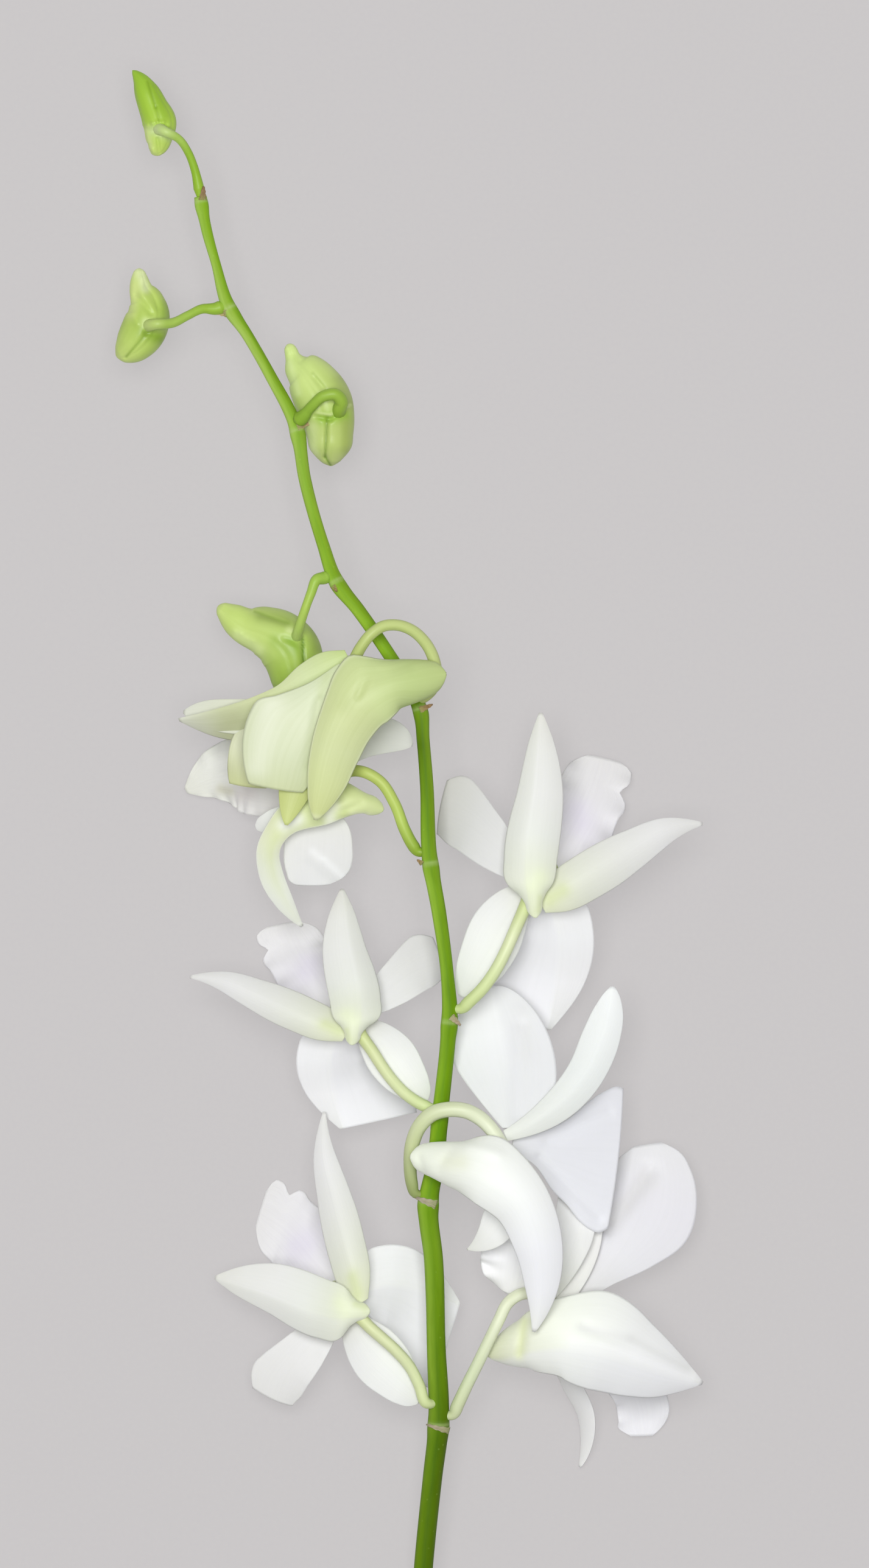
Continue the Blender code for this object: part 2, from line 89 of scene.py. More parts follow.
STEM = [(-5.5, -255, 2.9), (-4.6, -220, 8), (-2.6, -182, 13), (-0.4, -160, 16), (0.9, -148.5, 17.8),
        (0.4, -130, 20.5), (-0.2, -110, 23.3), (-1.4, -96, 25.2), (0.1, -88, 26.2), (1.4, -75, 27.7),
        (3, -60, 29), (3.5, -53, 29.5), (2.95, -44, 29.8), (1.1, -30, 30.2), (-1.1, -17, 30.5),
        (-1.8, 0, 30.6), (-2.6, 10, 30.4), (-3.3, 17, 30.2), (-5.6, 22, 29.9), (-10.6, 30, 29.3),
        (-17.5, 40, 28.5), (-22.6, 46.6, 28), (-25.6, 55, 27.4), (-29.8, 70, 26.2), (-32, 82.5, 25),
        (-37.9, 94.3, 24.1), (-43.2, 103.6, 23.4), (-47.6, 110.4, 23), (-50.4, 120, 22.6),
        (-52.6, 128, 22.3), (-54, 135.5, 22)]
STEM_RADII = [2.2, 2.2, 2.2, 2.25, 2.35, 1.92, 2, 2.25, 2.05, 1.85, 1.76, 1.8, 1.52, 1.65, 1.75, 1.55,
              1.5, 1.6, 1.5, 1.5, 1.56, 1.65, 1.42, 1.44, 1.52, 1.32, 1.3, 1.5, 1.1, 1.24, 1.26]
print("stem points:", len(STEM), "length, mm:", round(run_length(STEM)))

# %% The buds' routes
BUDS = {
    "bud_1": dict(
        spine=[(-65.2, 145.3, 22), (-64.2, 146.7, 22), (-63.5, 150, 22), (-63.4, 152.2, 22),
               (-65, 156.5, 22), (-66.6, 160.1, 22), (-68, 162.7, 22), (-69.7, 164.7, 22)],
        radii=[0.9, 2.2, 3.4, 3.9, 3.4, 2.8, 1.7, 0.3],
        pedicel=[(-54.2, 136.6, 22), (-55.3, 141.8, 22.8), (-56.7, 145.5, 24), (-58.8, 148.5, 25.8),
                 (-62, 150.2, 27.4)]),
    "bud_2": dict(
        spine=[(-68.1, 119.1, 21), (-68.1, 117, 21), (-67.8, 114.5, 21), (-66.5, 111.4, 21),
               (-66.1, 108.4, 21), (-66.9, 105.4, 21), (-69, 102.2, 21), (-71, 100.3, 21),
               (-73.5, 98.8, 21)],
        radii=[0.9, 1.9, 2.7, 4.1, 5, 5.3, 4.8, 3.7, 1.2],
        pedicel=[(-50.1, 109.7, 23.2), (-53.6, 109.5, 24.2), (-56.9, 107.9, 25.4), (-60.2, 106.2, 26.8),
                 (-64.2, 105.8, 28)]),
    "bud_3": dict(
        spine=[(-34, 101.5, 21.3), (-33.2, 100.1, 21.3), (-32.7, 98.6, 21.3), (-31.7, 96.7, 21.3),
               (-29.9, 95, 21.3), (-27.7, 92, 21.3), (-25.5, 87.9, 21.3), (-24.5, 84, 21.3),
               (-24.1, 80.5, 21.3), (-24, 77.3, 21.3), (-23.9, 74.8, 21.3), (-23.8, 73.4, 21.3)],
        radii=[1, 1.5, 1.8, 3.3, 4.9, 6.1, 6.6, 6.1, 5.4, 4.7, 2.6, 1],
        pedicel=[(-30.8, 84.2, 26.4), (-28.3, 86.8, 29), (-25.3, 89.2, 30.6), (-22.8, 89.5, 30.6),
                 (-21.4, 87.9, 29.2), (-21.9, 86.4, 27.6)]),
    "bud_4": dict(
        spine=[(-50.1, 41.1, 18.7), (-49, 40.3, 18.7), (-47, 38.8, 18.7), (-43.9, 36.7, 18.7),
               (-39.5, 35.4, 18.7), (-35.9, 33.6, 18.7), (-33.2, 30.6, 18.7), (-32.1, 27.2, 18.7),
               (-31.7, 23.1, 18.7), (-32.3, 18.5, 18.7), (-33, 15.2, 18.7)],
        radii=[1.2, 1.9, 3.2, 4.3, 5.8, 6.7, 7, 6.6, 5.9, 4, 1.5],
        pedicel=[(-25.4, 47.4, 28.8), (-27, 47, 30), (-28.4, 43.8, 30.3), (-30, 39.4, 29.7),
                 (-31.4, 35.2, 26.6)]),
}
for name, bud in BUDS.items():
    print(name, "spine and stalk, mm:", round(run_length(bud["spine"])), round(run_length(bud["pedicel"])))

# %% [markdown]
# ## The seven flowers
#
# Three of the flowers are one open flower that is turned, mirrored and stretched, so it is written once
# and stands at three hubs. The other four have sheets of their own, since each hangs in its own way. One
# shape for all seven would be shorter, but no two flowers of a real spray face the same way.

# %% The open flower
OPEN_FLOWER = {
    "left_sepal": tepal(
        [(23.2, -30.6, 34), (22.6, -25, 36), (22.7, -14, 34), (24.2, 0, 29), (24.5, 16.4, 22)],
        [(0, 0.25), (0.012, 1.1), (0.03, 1.6), (0.06, 1.8), (0.1, 2.8), (0.17, 5.8), (0.3, 6.5),
         (0.45, 6), (0.6, 5), (0.75, 3.9), (0.88, 2.5), (0.96, 1.1), (1, 0.3)],
        [(0, 0.25), (0.012, 1.1), (0.03, 1.6), (0.06, 1.8), (0.1, 2.7), (0.17, 4.6), (0.3, 5.5),
         (0.45, 6), (0.6, 5.6), (0.75, 4.4), (0.88, 2.6), (0.96, 1.1), (1, 0.3)],
        cup=(48, 25), spur=0.18, fold=(0.16, 0.35)),
    "right_sepal": tepal(
        [(24.4, -27.6, 31.5), (33, -22.8, 32), (45, -15.5, 30), (54, -10.5, 27.5), (61.7, -9.2, 24.5)],
        [(0, 2.8), (0.1, 4.6), (0.3, 5.6), (0.45, 5.4), (0.6, 4.6), (0.8, 2.9), (0.93, 1.2), (1, 0.3)],
        [(0, 2.2), (0.1, 4.2), (0.3, 5.1), (0.45, 5.1), (0.6, 4.3), (0.8, 2.9), (0.93, 1.2), (1, 0.3)],
        cup=(38, 25), claw=2.4, fold=(0.1, 0.1)),
    "dorsal_sepal": tepal(
        [(21.4, -24.6, 28.6), (14.9, -32, 28.6), (9.8, -41.5, 27.5), (6.2, -49, 25)],
        [(0, 2.6), (0.15, 4.6), (0.4, 7), (0.6, 7), (0.8, 5.4), (0.93, 3.2), (1, 0.6)],
        [(0, 2.6), (0.15, 4.6), (0.35, 5.8), (0.6, 5.2), (0.8, 4), (0.93, 2.4), (1, 0.6)],
        cup=(15, 15), claw=3),
    "left_petal": tepal(
        [(21.6, -22.4, 28), (14.6, -14, 25), (8, -8.6, 21.5), (1.2, -6.2, 17)],
        [(0, 2), (0.08, 2.8), (0.16, 4.1), (0.34, 6), (0.65, 7.1), (0.86, 6.8), (1, 5.4)],
        [(0, 2), (0.25, 3.2), (0.46, 4.6), (0.64, 6), (0.79, 8.2), (0.85, 9.1), (0.91, 9), (1, 7.2)],
        cup=(10, 15)),
    "right_petal": tepal(
        [(25.8, -26.8, 27.6), (28.4, -36, 21), (28, -46, 15), (26.2, -57, 12.5)],
        [(0, 3), (0.08, 7.4), (0.15, 8.2), (0.28, 8.5), (0.38, 8.4), (0.55, 7.8), (0.67, 6.8),
         (0.79, 4.9), (0.88, 3.1), (1, 0.6)],
        [(0, 2.5), (0.08, 4.6), (0.2, 7.4), (0.31, 9.2), (0.47, 12.4), (0.62, 16), (0.78, 18.2),
         (0.9, 18.8), (1, 18.4)],
        cup=(14, 12), fold=(0.16, 0)),
    "lip": tepal(
        [(24.6, -24, 27), (31, -12, 14.2), (36.4, -2, 6.4), (38.8, 6.2, 2.6)],
        [(0, 2), (0.3, 8), (0.6, 9), (0.8, 8), (0.9, 7.1), (0.94, 6.4), (0.97, 5.2), (1, 3)],
        [(0, 2), (0.3, 8), (0.55, 9.2), (0.61, 9.1), (0.71, 8.3), (0.77, 8.8), (0.81, 8.2), (0.84, 6.3),
         (0.87, 7.4), (0.93, 7.9), (0.98, 6.8), (1, 4.4)],
        cup=(45, 8), wave=(0.045, 6)),
}

OPEN_FLOWER_HUB = np.array([23.2, -30.4, 30.0])
print("sheets of the open flower:", list(OPEN_FLOWER))

# %% Flower 1, which arches over the stem
FLOWERS = {}


def add_flower(name, pedicel, tepals, stance=None):
    """Keep a flower's lists, and print how long its stalk and its longest midrib are."""
    FLOWERS[name] = dict(pedicel=pedicel, tepals=tepals, stance=stance)
    longest = max(run_length(sheet["route"]) for sheet in tepals.values())
    print(name, "stalk and longest midrib, mm:", round(run_length(pedicel)), round(longest))


add_flower(
    "flower_1",
    pedicel=[(-2.1, 20, 31.5), (0.2, 24, 32.6), (-0.3, 29, 34), (-2.5, 32.9, 35.3), (-5.3, 35.3, 36.5),
             (-8.6, 36.4, 37.5), (-11.8, 36.1, 38.3), (-14.6, 34.2, 38.7), (-16.8, 31.4, 38.3),
             (-18.6, 28, 36.9), (-21.2, 24, 35), (-23.4, 20.8, 32)],
    tepals={
        "right_sepal": tepal(
            [(2.6, 25.2, 39.2), (-4, 24, 42.2), (-10, 22.7, 44.2), (-16, 19.5, 45), (-20.5, 13.5, 44.4),
             (-23.5, 6.5, 42.8), (-25.5, -1, 40.6), (-27.2, -8.2, 37.5)],
            [(0, 0.25), (0.005, 1.5), (0.015, 2.7), (0.04, 3.9), (0.07, 4.5), (0.13, 5.1), (0.255, 6.2),
             (0.34, 7.2), (0.45, 7), (0.54, 6.6), (0.7, 6), (0.85, 4.6), (0.95, 2.2), (1, 0.3)],
            [(0, 0.25), (0.005, 1.5), (0.015, 2.6), (0.04, 3.5), (0.07, 4), (0.13, 4.7), (0.255, 6.1),
             (0.31, 8.2), (0.35, 10), (0.4, 9.2), (0.46, 7.6), (0.54, 6.4), (0.7, 5), (0.85, 3.6),
             (0.95, 1.9), (1, 0.3)],
            cup=(55, 30), spur=0.32, fold=(0.12, -0.5)),
        "right_petal": tepal(
            [(-21.2, 27.2, 39.3), (-28.5, 15.5, 39.6), (-33, 7, 38.8), (-35.2, -1.4, 37)],
            [(0, 1.6), (0.25, 5), (0.5, 6.5), (0.8, 6.2), (0.97, 5.6), (1, 5)],
            [(0, 0.6), (0.25, 4.4), (0.42, 9), (0.52, 12.2), (0.6, 12.4), (0.75, 11.4), (0.88, 9.6),
             (0.97, 8), (1, 7.4)],
            cup=(28, 22)),
        "dorsal_sepal": tepal(
            [(-19.8, 29.2, 36.5), (-28, 24.9, 36.4), (-35, 21.4, 35), (-42, 18.8, 32.8),
             (-50, 16.7, 30), (-58.8, 14.8, 26.4)],
            [(0, 2), (0.25, 7), (0.5, 10), (0.68, 10), (0.8, 8.4), (0.9, 5.4), (0.97, 2), (1, 0.3)],
            [(0, 1.6), (0.1, 3.4), (0.25, 3.2), (0.4, 1.4), (0.55, 0.9), (0.7, 0.6), (1, 0.3)],
            cup=(35, 22), roll=(0, -22), fold=(0.25, 0)),
        "left_petal": tepal(
            [(-21, 27.4, 30.9), (-38, 18.6, 29.7), (-57.8, 16.6, 24)],
            (6, 0.5, 0.6), (3, 0.8, 0.7), cup=(20, 20)),
        "left_sepal": tepal(
            [(-19.5, 23, 34), (-28, 9, 35.2), (-34, -9.4, 35)],
            (5, 0.5, 0.7), (5, 0.5, 0.7), cup=(30, 30)),
        "lip": tepal(
            [(-24.5, 19.5, 32.6), (-33.5, 13.5, 30.8), (-40.5, 6.5, 29), (-42.8, -0.7, 27)],
            [(0, 2), (0.4, 8), (0.8, 7), (1, 4)],
            [(0, 2), (0.3, 6.2), (0.5, 7.4), (0.7, 7.4), (0.85, 6), (0.95, 5), (1, 4.4)],
            cup=(50, 25), wave=(0.03, 4)),
    })

# %% Flower 2, which hangs under flower 1
add_flower(
    "flower_2",
    pedicel=[(-3.8, -15.5, 29.8), (-5, -14, 30), (-6.7, -10.8, 30.4), (-9.2, -4.4, 30.8),
             (-12.6, 0.7, 31), (-15.8, 2.6, 31), (-19, 3, 29), (-22.6, 1.2, 26.6), (-26.5, -0.8, 24.4),
             (-29, -1.8, 23)],
    tepals={
        "right_sepal": tepal(
            [(-11.8, -6, 29.5), (-18, -4.6, 32.4), (-26, -5.3, 32.5), (-33.5, -8.6, 30.6),
             (-37.4, -14.5, 28), (-37, -21, 24), (-34.4, -27, 20), (-30.7, -32.9, 15)],
            [(0, 0.25), (0.006, 1), (0.02, 1.6), (0.08, 1.8), (0.16, 2.8), (0.26, 4.1), (0.4, 3.4),
             (0.5, 2.2), (0.6, 1.9), (0.75, 2.1), (0.88, 1.5), (1, 0.3)],
            [(0, 0.25), (0.006, 1), (0.02, 1.7), (0.08, 2.6), (0.16, 4.8), (0.28, 6.4), (0.4, 4.2),
             (0.5, 3.2), (0.6, 3.3), (0.75, 3.2), (0.88, 2.2), (1, 0.3)],
            cup=(50, 30), spur=0.25),
        "right_petal": tepal(
            [(-24.5, -4.5, 27.5), (-26.2, -14, 24.2), (-26.6, -23.4, 19)],
            [(0, 1.8), (0.25, 6), (0.48, 7.3), (0.7, 7.5), (0.85, 6.6), (0.95, 4.4), (1, 2)],
            [(0, 1.8), (0.3, 8), (0.6, 8.4), (0.85, 7.6), (0.97, 6.4), (1, 5.4)],
            cup=(12, 12)),
        "dorsal_sepal": tepal(
            [(-26, -5, 24), (-33, -7.2, 22.5), (-41.3, -10.2, 18)],
            (3, 0.6, 0.6), [(0, 1.4), (0.4, 2.6), (0.8, 2.4), (0.95, 1.4), (1, 0.4)],
            cup=(15, 15)),
        "left_petal": tepal(
            [(-23, 3, 26), (-15, 9.4, 22.5), (-5.1, 9, 19)],
            (5.6, 0.6, 0.6), (3, 0.6, 0.6), cup=(15, 15)),
        "left_sepal": tepal(
            [(-28.9, -0.3, 22.2), (-31.5, 4.5, 20.5), (-35.5, 9.5, 18), (-40, 14, 14)],
            (4.5, 0.45, 0.7), (4.5, 0.45, 0.7), cup=(40, 30)),
        "lip": tepal(
            [(-29, -3, 22), (-38, 0, 13.5), (-47.5, 2.4, 6), (-57.9, -1.6, 2)],
            [(0, 2), (0.2, 6), (0.38, 7.8), (0.56, 8.6), (0.68, 8), (0.84, 4.8), (0.94, 2.7), (1, 0.6)],
            [(0, 2), (0.3, 7), (0.55, 8.4), (0.72, 7.6), (0.86, 5), (0.95, 2.2), (1, 0.6)],
            cup=(40, 16), wave=(0.04, 9)),
    })

# %% Flower 3, the open flower on the right
add_flower(
    "flower_3",
    pedicel=[(6.2, -51.6, 30.2), (8, -50, 31), (11, -47, 32), (14, -42.8, 32.8), (16.6, -37.8, 33),
             (18.8, -32.8, 32.6), (20.6, -28.7, 31.6), (22.3, -24.8, 30), (25, -21, 26.5),
             (27, -18.4, 23.8)],
    tepals=OPEN_FLOWER)

# %% Flower 4, its mirror on the left
add_flower(
    "flower_4",
    pedicel=[(-0.8, -74.6, 28), (-3.2, -73.6, 28.2), (-6.6, -71.3, 28.8), (-9.6, -68.2, 29.4),
             (-12.1, -64.8, 29.8), (-14.4, -61.2, 30.1), (-16.6, -58.1, 29.9), (-18.2, -55.2, 27.8),
             (-20.9, -52.4, 23.9), (-22.9, -50.5, 20.9)],
    tepals=OPEN_FLOWER,
    stance=dict(hub=(-19, -59.7, 28.5), right=(-0.958, -0.023), up=(-0.025, 0.755), lean=-0.12))

# %% Flower 5, with its long closed sepal
add_flower(
    "flower_5",
    pedicel=[(-4.6, -94.1, 25.9), (-5.2, -92, 26.4), (-5.6, -87.6, 27.6), (-5, -82.4, 29.4),
             (-3.4, -78.6, 30.8), (-0.4, -75.7, 31.8), (3.5, -74.7, 32.3), (7.3, -75.1, 32.6),
             (10.6, -76.8, 33.5), (12.9, -79, 34.2), (15.2, -82.4, 33.6), (18, -87, 30.7),
             (20, -91, 27.2), (21.4, -93.8, 24.2)],
    tepals={
        "right_sepal": tepal(
            [(-5.5, -85.4, 34.6), (3, -87, 39.3), (11.5, -89.5, 42.4), (19, -95, 42.8),
             (23.3, -106, 40), (24.2, -115, 36), (22.8, -125.8, 30.5)],
            [(0, 0.25), (0.005, 1.7), (0.013, 2.6), (0.035, 3.4), (0.07, 4.1), (0.146, 5.3), (0.3, 9.2),
             (0.38, 8.2), (0.46, 7), (0.66, 6), (0.82, 4.2), (0.93, 2), (1, 0.3)],
            [(0, 0.25), (0.005, 1.7), (0.013, 2.6), (0.035, 3.3), (0.07, 3.8), (0.146, 4.9), (0.3, 6.6),
             (0.46, 6.4), (0.66, 4.9), (0.82, 3.4), (0.93, 1.6), (1, 0.3)],
            cup=(58, 30), spur=0.28, fold=(0.08, 0.1)),
        "dorsal_sepal": tepal(
            [(16.2, -80.8, 32.2), (27, -74.8, 31), (34.2, -67.5, 29), (38.8, -58, 26),
             (41.1, -46.8, 22)],
            [(0, 1.2), (0.3, 3.4), (0.55, 4.4), (0.75, 4.6), (0.9, 3.2), (0.97, 1.6), (1, 0.4)],
            [(0, 1.2), (0.3, 3.8), (0.55, 4.2), (0.75, 4), (0.9, 2.8), (0.97, 1.4), (1, 0.4)],
            cup=(25, 25), fold=(0.15, 0)),
        "left_petal": tepal(
            [(17.3, -79, 31), (16.5, -65, 25.3), (13, -46.8, 18)],
            (12.3, 0.62, 0.6), (11.3, 0.45, 0.5), cup=(12, 12)),
        "right_petal": tepal(
            [(17.9, -83.1, 29.8), (30, -84.9, 24.5), (42.4, -87, 19.5)],
            [(0, 1.5), (0.3, 4.4), (0.5, 7.8), (0.7, 13), (0.84, 15.8), (0.95, 17.2), (1, 17)],
            [(0, 1.5), (0.26, 4.3), (0.44, 9), (0.6, 12), (0.73, 15), (0.84, 16.6), (0.93, 17),
             (1, 15.8)],
            cup=(12, 12), roll=(0, -10)),
        "left_sepal": tepal(
            [(17.3, -89.5, 28), (16.5, -96, 30), (13, -103.4, 29), (7.6, -107.2, 25)],
            (4.4, 0.45, 0.95), (4, 0.45, 0.95), cup=(20, 10)),
        "lip": tepal(
            [(21, -93, 25), (21, -103, 23), (18, -118.2, 18)],
            [(0, 2), (0.25, 6), (0.42, 9), (0.5, 10.4), (0.56, 10.6), (0.62, 8.8), (0.8, 7.4),
             (0.93, 4), (1, 0.6)],
            [(0, 2), (0.3, 7), (0.55, 9.4), (0.7, 9.4), (0.85, 8.4), (0.95, 5.2), (1, 1.6)],
            cup=(30, 12), wave=(0.05, 6)),
    })

# %% Flower 6, the open flower at the foot
add_flower(
    "flower_6",
    pedicel=[(-2, -142.8, 21.3), (-3.5, -138.8, 22.2), (-5.7, -134.4, 23.2), (-8.9, -130.6, 24.4),
             (-12.4, -127.4, 24.9), (-14.8, -125.3, 24.9), (-16.9, -123.2, 24.1), (-19.6, -120.6, 22.1),
             (-22.1, -117.5, 18.8), (-23.8, -115.2, 16.3)],
    tepals=OPEN_FLOWER,
    stance=dict(hub=(-15.1, -121.4, 22.5), right=(0.154, 1.116), up=(-0.768, 0.117), lean=-0.085,
                depth=0.856))

# %% Flower 7, low on the right
add_flower(
    "flower_7",
    pedicel=[(4.4, -145.6, 18.9), (5.3, -143.6, 19.6), (7.5, -138.8, 21), (10, -133.7, 22.6),
             (12.4, -128.6, 24), (14.8, -123.6, 25), (17, -119.5, 24.6), (19.5, -117.8, 23.5),
             (22.5, -117.6, 21.3), (25.8, -119.1, 19.2), (28.6, -120.2, 17.2), (31, -121.6, 14.6)],
    tepals={
        "right_sepal": tepal(
            [(12.2, -131.9, 20.5), (20, -129.8, 25.3), (29, -128, 29), (38, -129, 28.8),
             (48, -132.5, 25.5), (61.9, -138.6, 17)],
            [(0, 0.25), (0.008, 1.2), (0.03, 2.6), (0.155, 6.2), (0.34, 9.6), (0.51, 12), (0.6, 10.6),
             (0.715, 7.8), (0.86, 4), (0.95, 1.6), (1, 0.3)],
            [(0, 0.25), (0.008, 1.2), (0.03, 2.4), (0.155, 5.8), (0.34, 9.2), (0.51, 10.8),
             (0.715, 9.5), (0.86, 6.8), (0.95, 3), (1, 0.3)],
            cup=(48, 25), spur=0.22, fold=(0.12, 0)),
        "left_sepal": tepal(
            [(28.8, -121.8, 15.4), (27.6, -131, 13.5), (31, -138.8, 11), (35, -148, 6),
             (33.9, -159.2, 1.5)],
            (3.2, 0.5, 0.6), (3.2, 0.5, 0.6), cup=(30, 20), roll=(50, 50)),
        "right_petal": tepal(
            [(32, -119.3, 16.6), (42, -110.5, 15.8), (49.2, -98.5, 13), (50.3, -83.6, 8)],
            [(0, 2), (0.2, 3.4), (0.4, 6.6), (0.58, 8.4), (0.72, 9.2), (0.86, 8.8), (0.95, 7.4), (1, 4)],
            [(0, 2), (0.2, 3), (0.4, 7.4), (0.58, 11.4), (0.72, 11), (0.86, 8.8), (0.95, 6), (1, 2.4)],
            cup=(12, 12)),
        "dorsal_sepal": tepal(
            [(29, -119.5, 19), (34, -110.5, 18.6), (38, -98.6, 17)],
            (3.2, 0.5, 0.6), (2.8, 0.5, 0.6), cup=(25, 18)),
        "left_petal": tepal(
            [(26.2, -118, 21), (30.3, -108, 22.6), (32.2, -100, 21), (30, -92.8, 19)],
            (4.6, 0.6, 0.5), (5, 0.6, 0.6), cup=(16, 16)),
        "lip": tepal(
            [(30.9, -121.7, 14.3), (38.5, -131.5, 8.5), (47.3, -143.4, 3), (48.8, -152, 1)],
            [(0, 2), (0.3, 4), (0.6, 5.6), (0.76, 6.6), (0.86, 6.6), (0.95, 4.6), (1, 2)],
            [(0, 2), (0.3, 4), (0.6, 5.2), (0.76, 5.2), (0.88, 5.6), (0.96, 5.4), (1, 3)],
            cup=(40, 10), wave=(0.06, 6)),
    })

# %% [markdown]
# ## Curves, outlines and sheets as formulas
#
# A smooth route comes from a Hermite curve: between two points it blends their places and their slopes,
# so it passes through every point without a corner. A Bezier curve object would give the same line, but
# a petal needs the line as numbers, because its surface is worked out from it.

# %% Smooth curves


def smooth_curve(points, count, values=None):
    """A Hermite curve through the points, read at even steps of its length; values ride along."""
    rows = np.asarray(points, float)
    if values is not None:
        rows = np.hstack([rows, np.asarray(values, float)[:, None]])
    chords = np.linalg.norm(np.diff(rows[:, :3], axis=0), axis=1)
    knots = np.concatenate([[0], np.cumsum(chords)])
    slopes = np.gradient(rows, knots, axis=0, edge_order=2)
    along = np.linspace(0, knots[-1], 20 * len(rows))
    i = np.clip(np.searchsorted(knots, along, side="right") - 1, 0, len(knots) - 2)
    span = (knots[i + 1] - knots[i])[:, None]
    s = (along - knots[i])[:, None] / span
    dense = ((1 + 2 * s) * (1 - s) ** 2 * rows[i] + s * (1 - s) ** 2 * span * slopes[i]
             + s * s * (3 - 2 * s) * rows[i + 1] + s * s * (s - 1) * span * slopes[i + 1])
    steps = np.linalg.norm(np.diff(dense[:, :3], axis=0), axis=1)
    run = np.concatenate([[0], np.cumsum(steps)])
    even = np.linspace(0, run[-1], count)
    return np.stack([np.interp(even, run, column) for column in dense.T], 1)


print("half-way along the stem, mm:", smooth_curve(STEM, 3)[1].round(1))

# %% [markdown]
# ## The outline of a sheet
#
# A sheet has two parameters. u runs from 0 at its base to 1 at its tip, and v from -1 at its right rim
# to 1 at its left rim. Its half-width on each side passes through listed places, or swells as a power
# of a sine. An outline could be drawn and filled, but then the grid would not follow the veins.

# %% Outlines
LEAST_HALF_WIDTH = 0.25       # millimetres, so that no tip or nose closes to nothing


def through(pairs, u):
    """A Hermite curve through (u, value) pairs, with the slope at each taken from its neighbours."""
    knots, values = np.array(pairs, float).T
    slopes = np.gradient(values, knots)
    i = np.clip(np.searchsorted(knots, u, side="right") - 1, 0, len(knots) - 2)
    span = knots[i + 1] - knots[i]
    s = (u - knots[i]) / span
    return ((1 + 2 * s) * (1 - s) ** 2 * values[i] + s * (1 - s) ** 2 * span * slopes[i]
            + s * s * (3 - 2 * s) * values[i + 1] + s * s * (s - 1) * span * slopes[i + 1])


def half_width(u, side, claw):
    """Through the side's pairs, or width * sin(pi * u^p)^fullness, peaking at u = peak, plus a claw."""
    if isinstance(side, list):
        return np.maximum(through(side, u), LEAST_HALF_WIDTH)
    width, peak, fullness = side
    swell = np.sin(np.pi * u ** (np.log(0.5) / np.log(peak))).clip(0) ** fullness
    return np.maximum(width * swell + claw * (1 - u) ** 4, LEAST_HALF_WIDTH)


swelling = half_width(np.linspace(0, 1, 5), (5, 0.5, 0.7), 1.6)
print("half-widths of a plain swelling, mm:", swelling.round(1))

# %% [markdown]
# ## The sheet and its spur
#
# Across the midrib the sheet bends on an arc of a circle. When the arc is opened to nearly half a turn
# on each side, its rims meet below and the sheet is a tube: that is the spur of a dendrobium. A ruffle
# is a sine along the rim. A fold is a crease beside the midrib, from which both sides fall away.

# %% Sheets
UP = np.array([0.0, 0.0, 1.0])
SPUR_BEND = 172               # degrees from the midrib to each rim where a spur is closed
SPUR_CLAW = 0.6               # half-width of the spur's nose, millimetres
RUFFLE_GAIN = 3               # how fast the ruffles grow towards the tip
FOLD_LENGTH = 0.25            # share of the length in which a fold sets in, after the spur
FOLD_ROUND, FOLD_LEVEL = 0.003, 0.05    # how round the fold's edge is, and its height at the edge


def unit(vectors):
    """Each vector divided by its length."""
    return vectors / np.linalg.norm(vectors, axis=-1, keepdims=True)


def smooth_step(x):
    """0 below 0, 1 above 1, and the curve 3x^2 - 2x^3 between them."""
    x = np.clip(x, 0, 1)
    return x * x * (3 - 2 * x)


def frames_along(path):
    """Tangent, level (horizontal, to the left) and face (up from the path) at each of its points."""
    tangent = unit(np.gradient(path, axis=0))
    level = unit(np.cross(UP, tangent))
    return tangent, level, np.cross(tangent, level)


def sheet_points(sheet, u, v):
    """The sheet's middle on a grid: an arc of radius half-width / sin(bend) across each midrib point."""
    midrib = smooth_curve(sheet["route"], 400)
    path = np.stack([np.interp(u, np.linspace(0, 1, len(midrib)), column) for column in midrib.T], 1)
    tangent, level, face = frames_along(path)
    roll = np.radians(np.interp(u, [0, 1], sheet["roll"]))[:, None]
    side = np.cos(roll) * level + np.sin(roll) * face
    outward = np.cos(roll) * face - np.sin(roll) * level
    bend = np.interp(u, [0, 1], sheet["cup"])
    claw = sheet["claw"]
    if sheet["spur"]:
        bend = SPUR_BEND + (bend - SPUR_BEND) * smooth_step(u / sheet["spur"])
        claw = SPUR_CLAW
    bend = np.radians(bend)[:, None]
    u, v = u[:, None], v[None, :]
    half = np.where(v > 0, half_width(u, sheet["left"], claw), half_width(u, sheet["right"], claw))
    radius = half / np.sin(np.minimum(bend, np.pi / 2))
    height, count = sheet["wave"]
    ruffle = RUFFLE_GAIN * u * height * half * np.abs(v) ** 3 * np.sin(2 * np.pi * count * u)
    slope, place = sheet["fold"]
    opened = smooth_step((u - sheet["spur"]) / FOLD_LENGTH)
    crease = slope * half * opened * (np.sqrt((v - place) ** 2 + FOLD_ROUND) - FOLD_LEVEL)
    across = radius * np.sin(bend * v)
    rise = ruffle - crease - radius * (1 - np.cos(bend * v))
    return path[:, None] + side[:, None] * across[..., None] + outward[:, None] * rise[..., None]


lip = sheet_points(OPEN_FLOWER["lip"], np.linspace(0, 1, 30), np.linspace(-1, 1, 9))
print("the open flower's lip reaches across, along and up, mm:", np.ptp(lip, axis=(0, 1)).round(1))

# %% [markdown]
# ## One flower at three hubs
#
# The open flower can be set at another hub. Its two flat axes are then turned and stretched, and its
# height is scaled and leans with its own upright axis. Copies of the objects could be turned instead,
# but each sheet still has to bend where it meets the table.

# %% The open flower at another hub


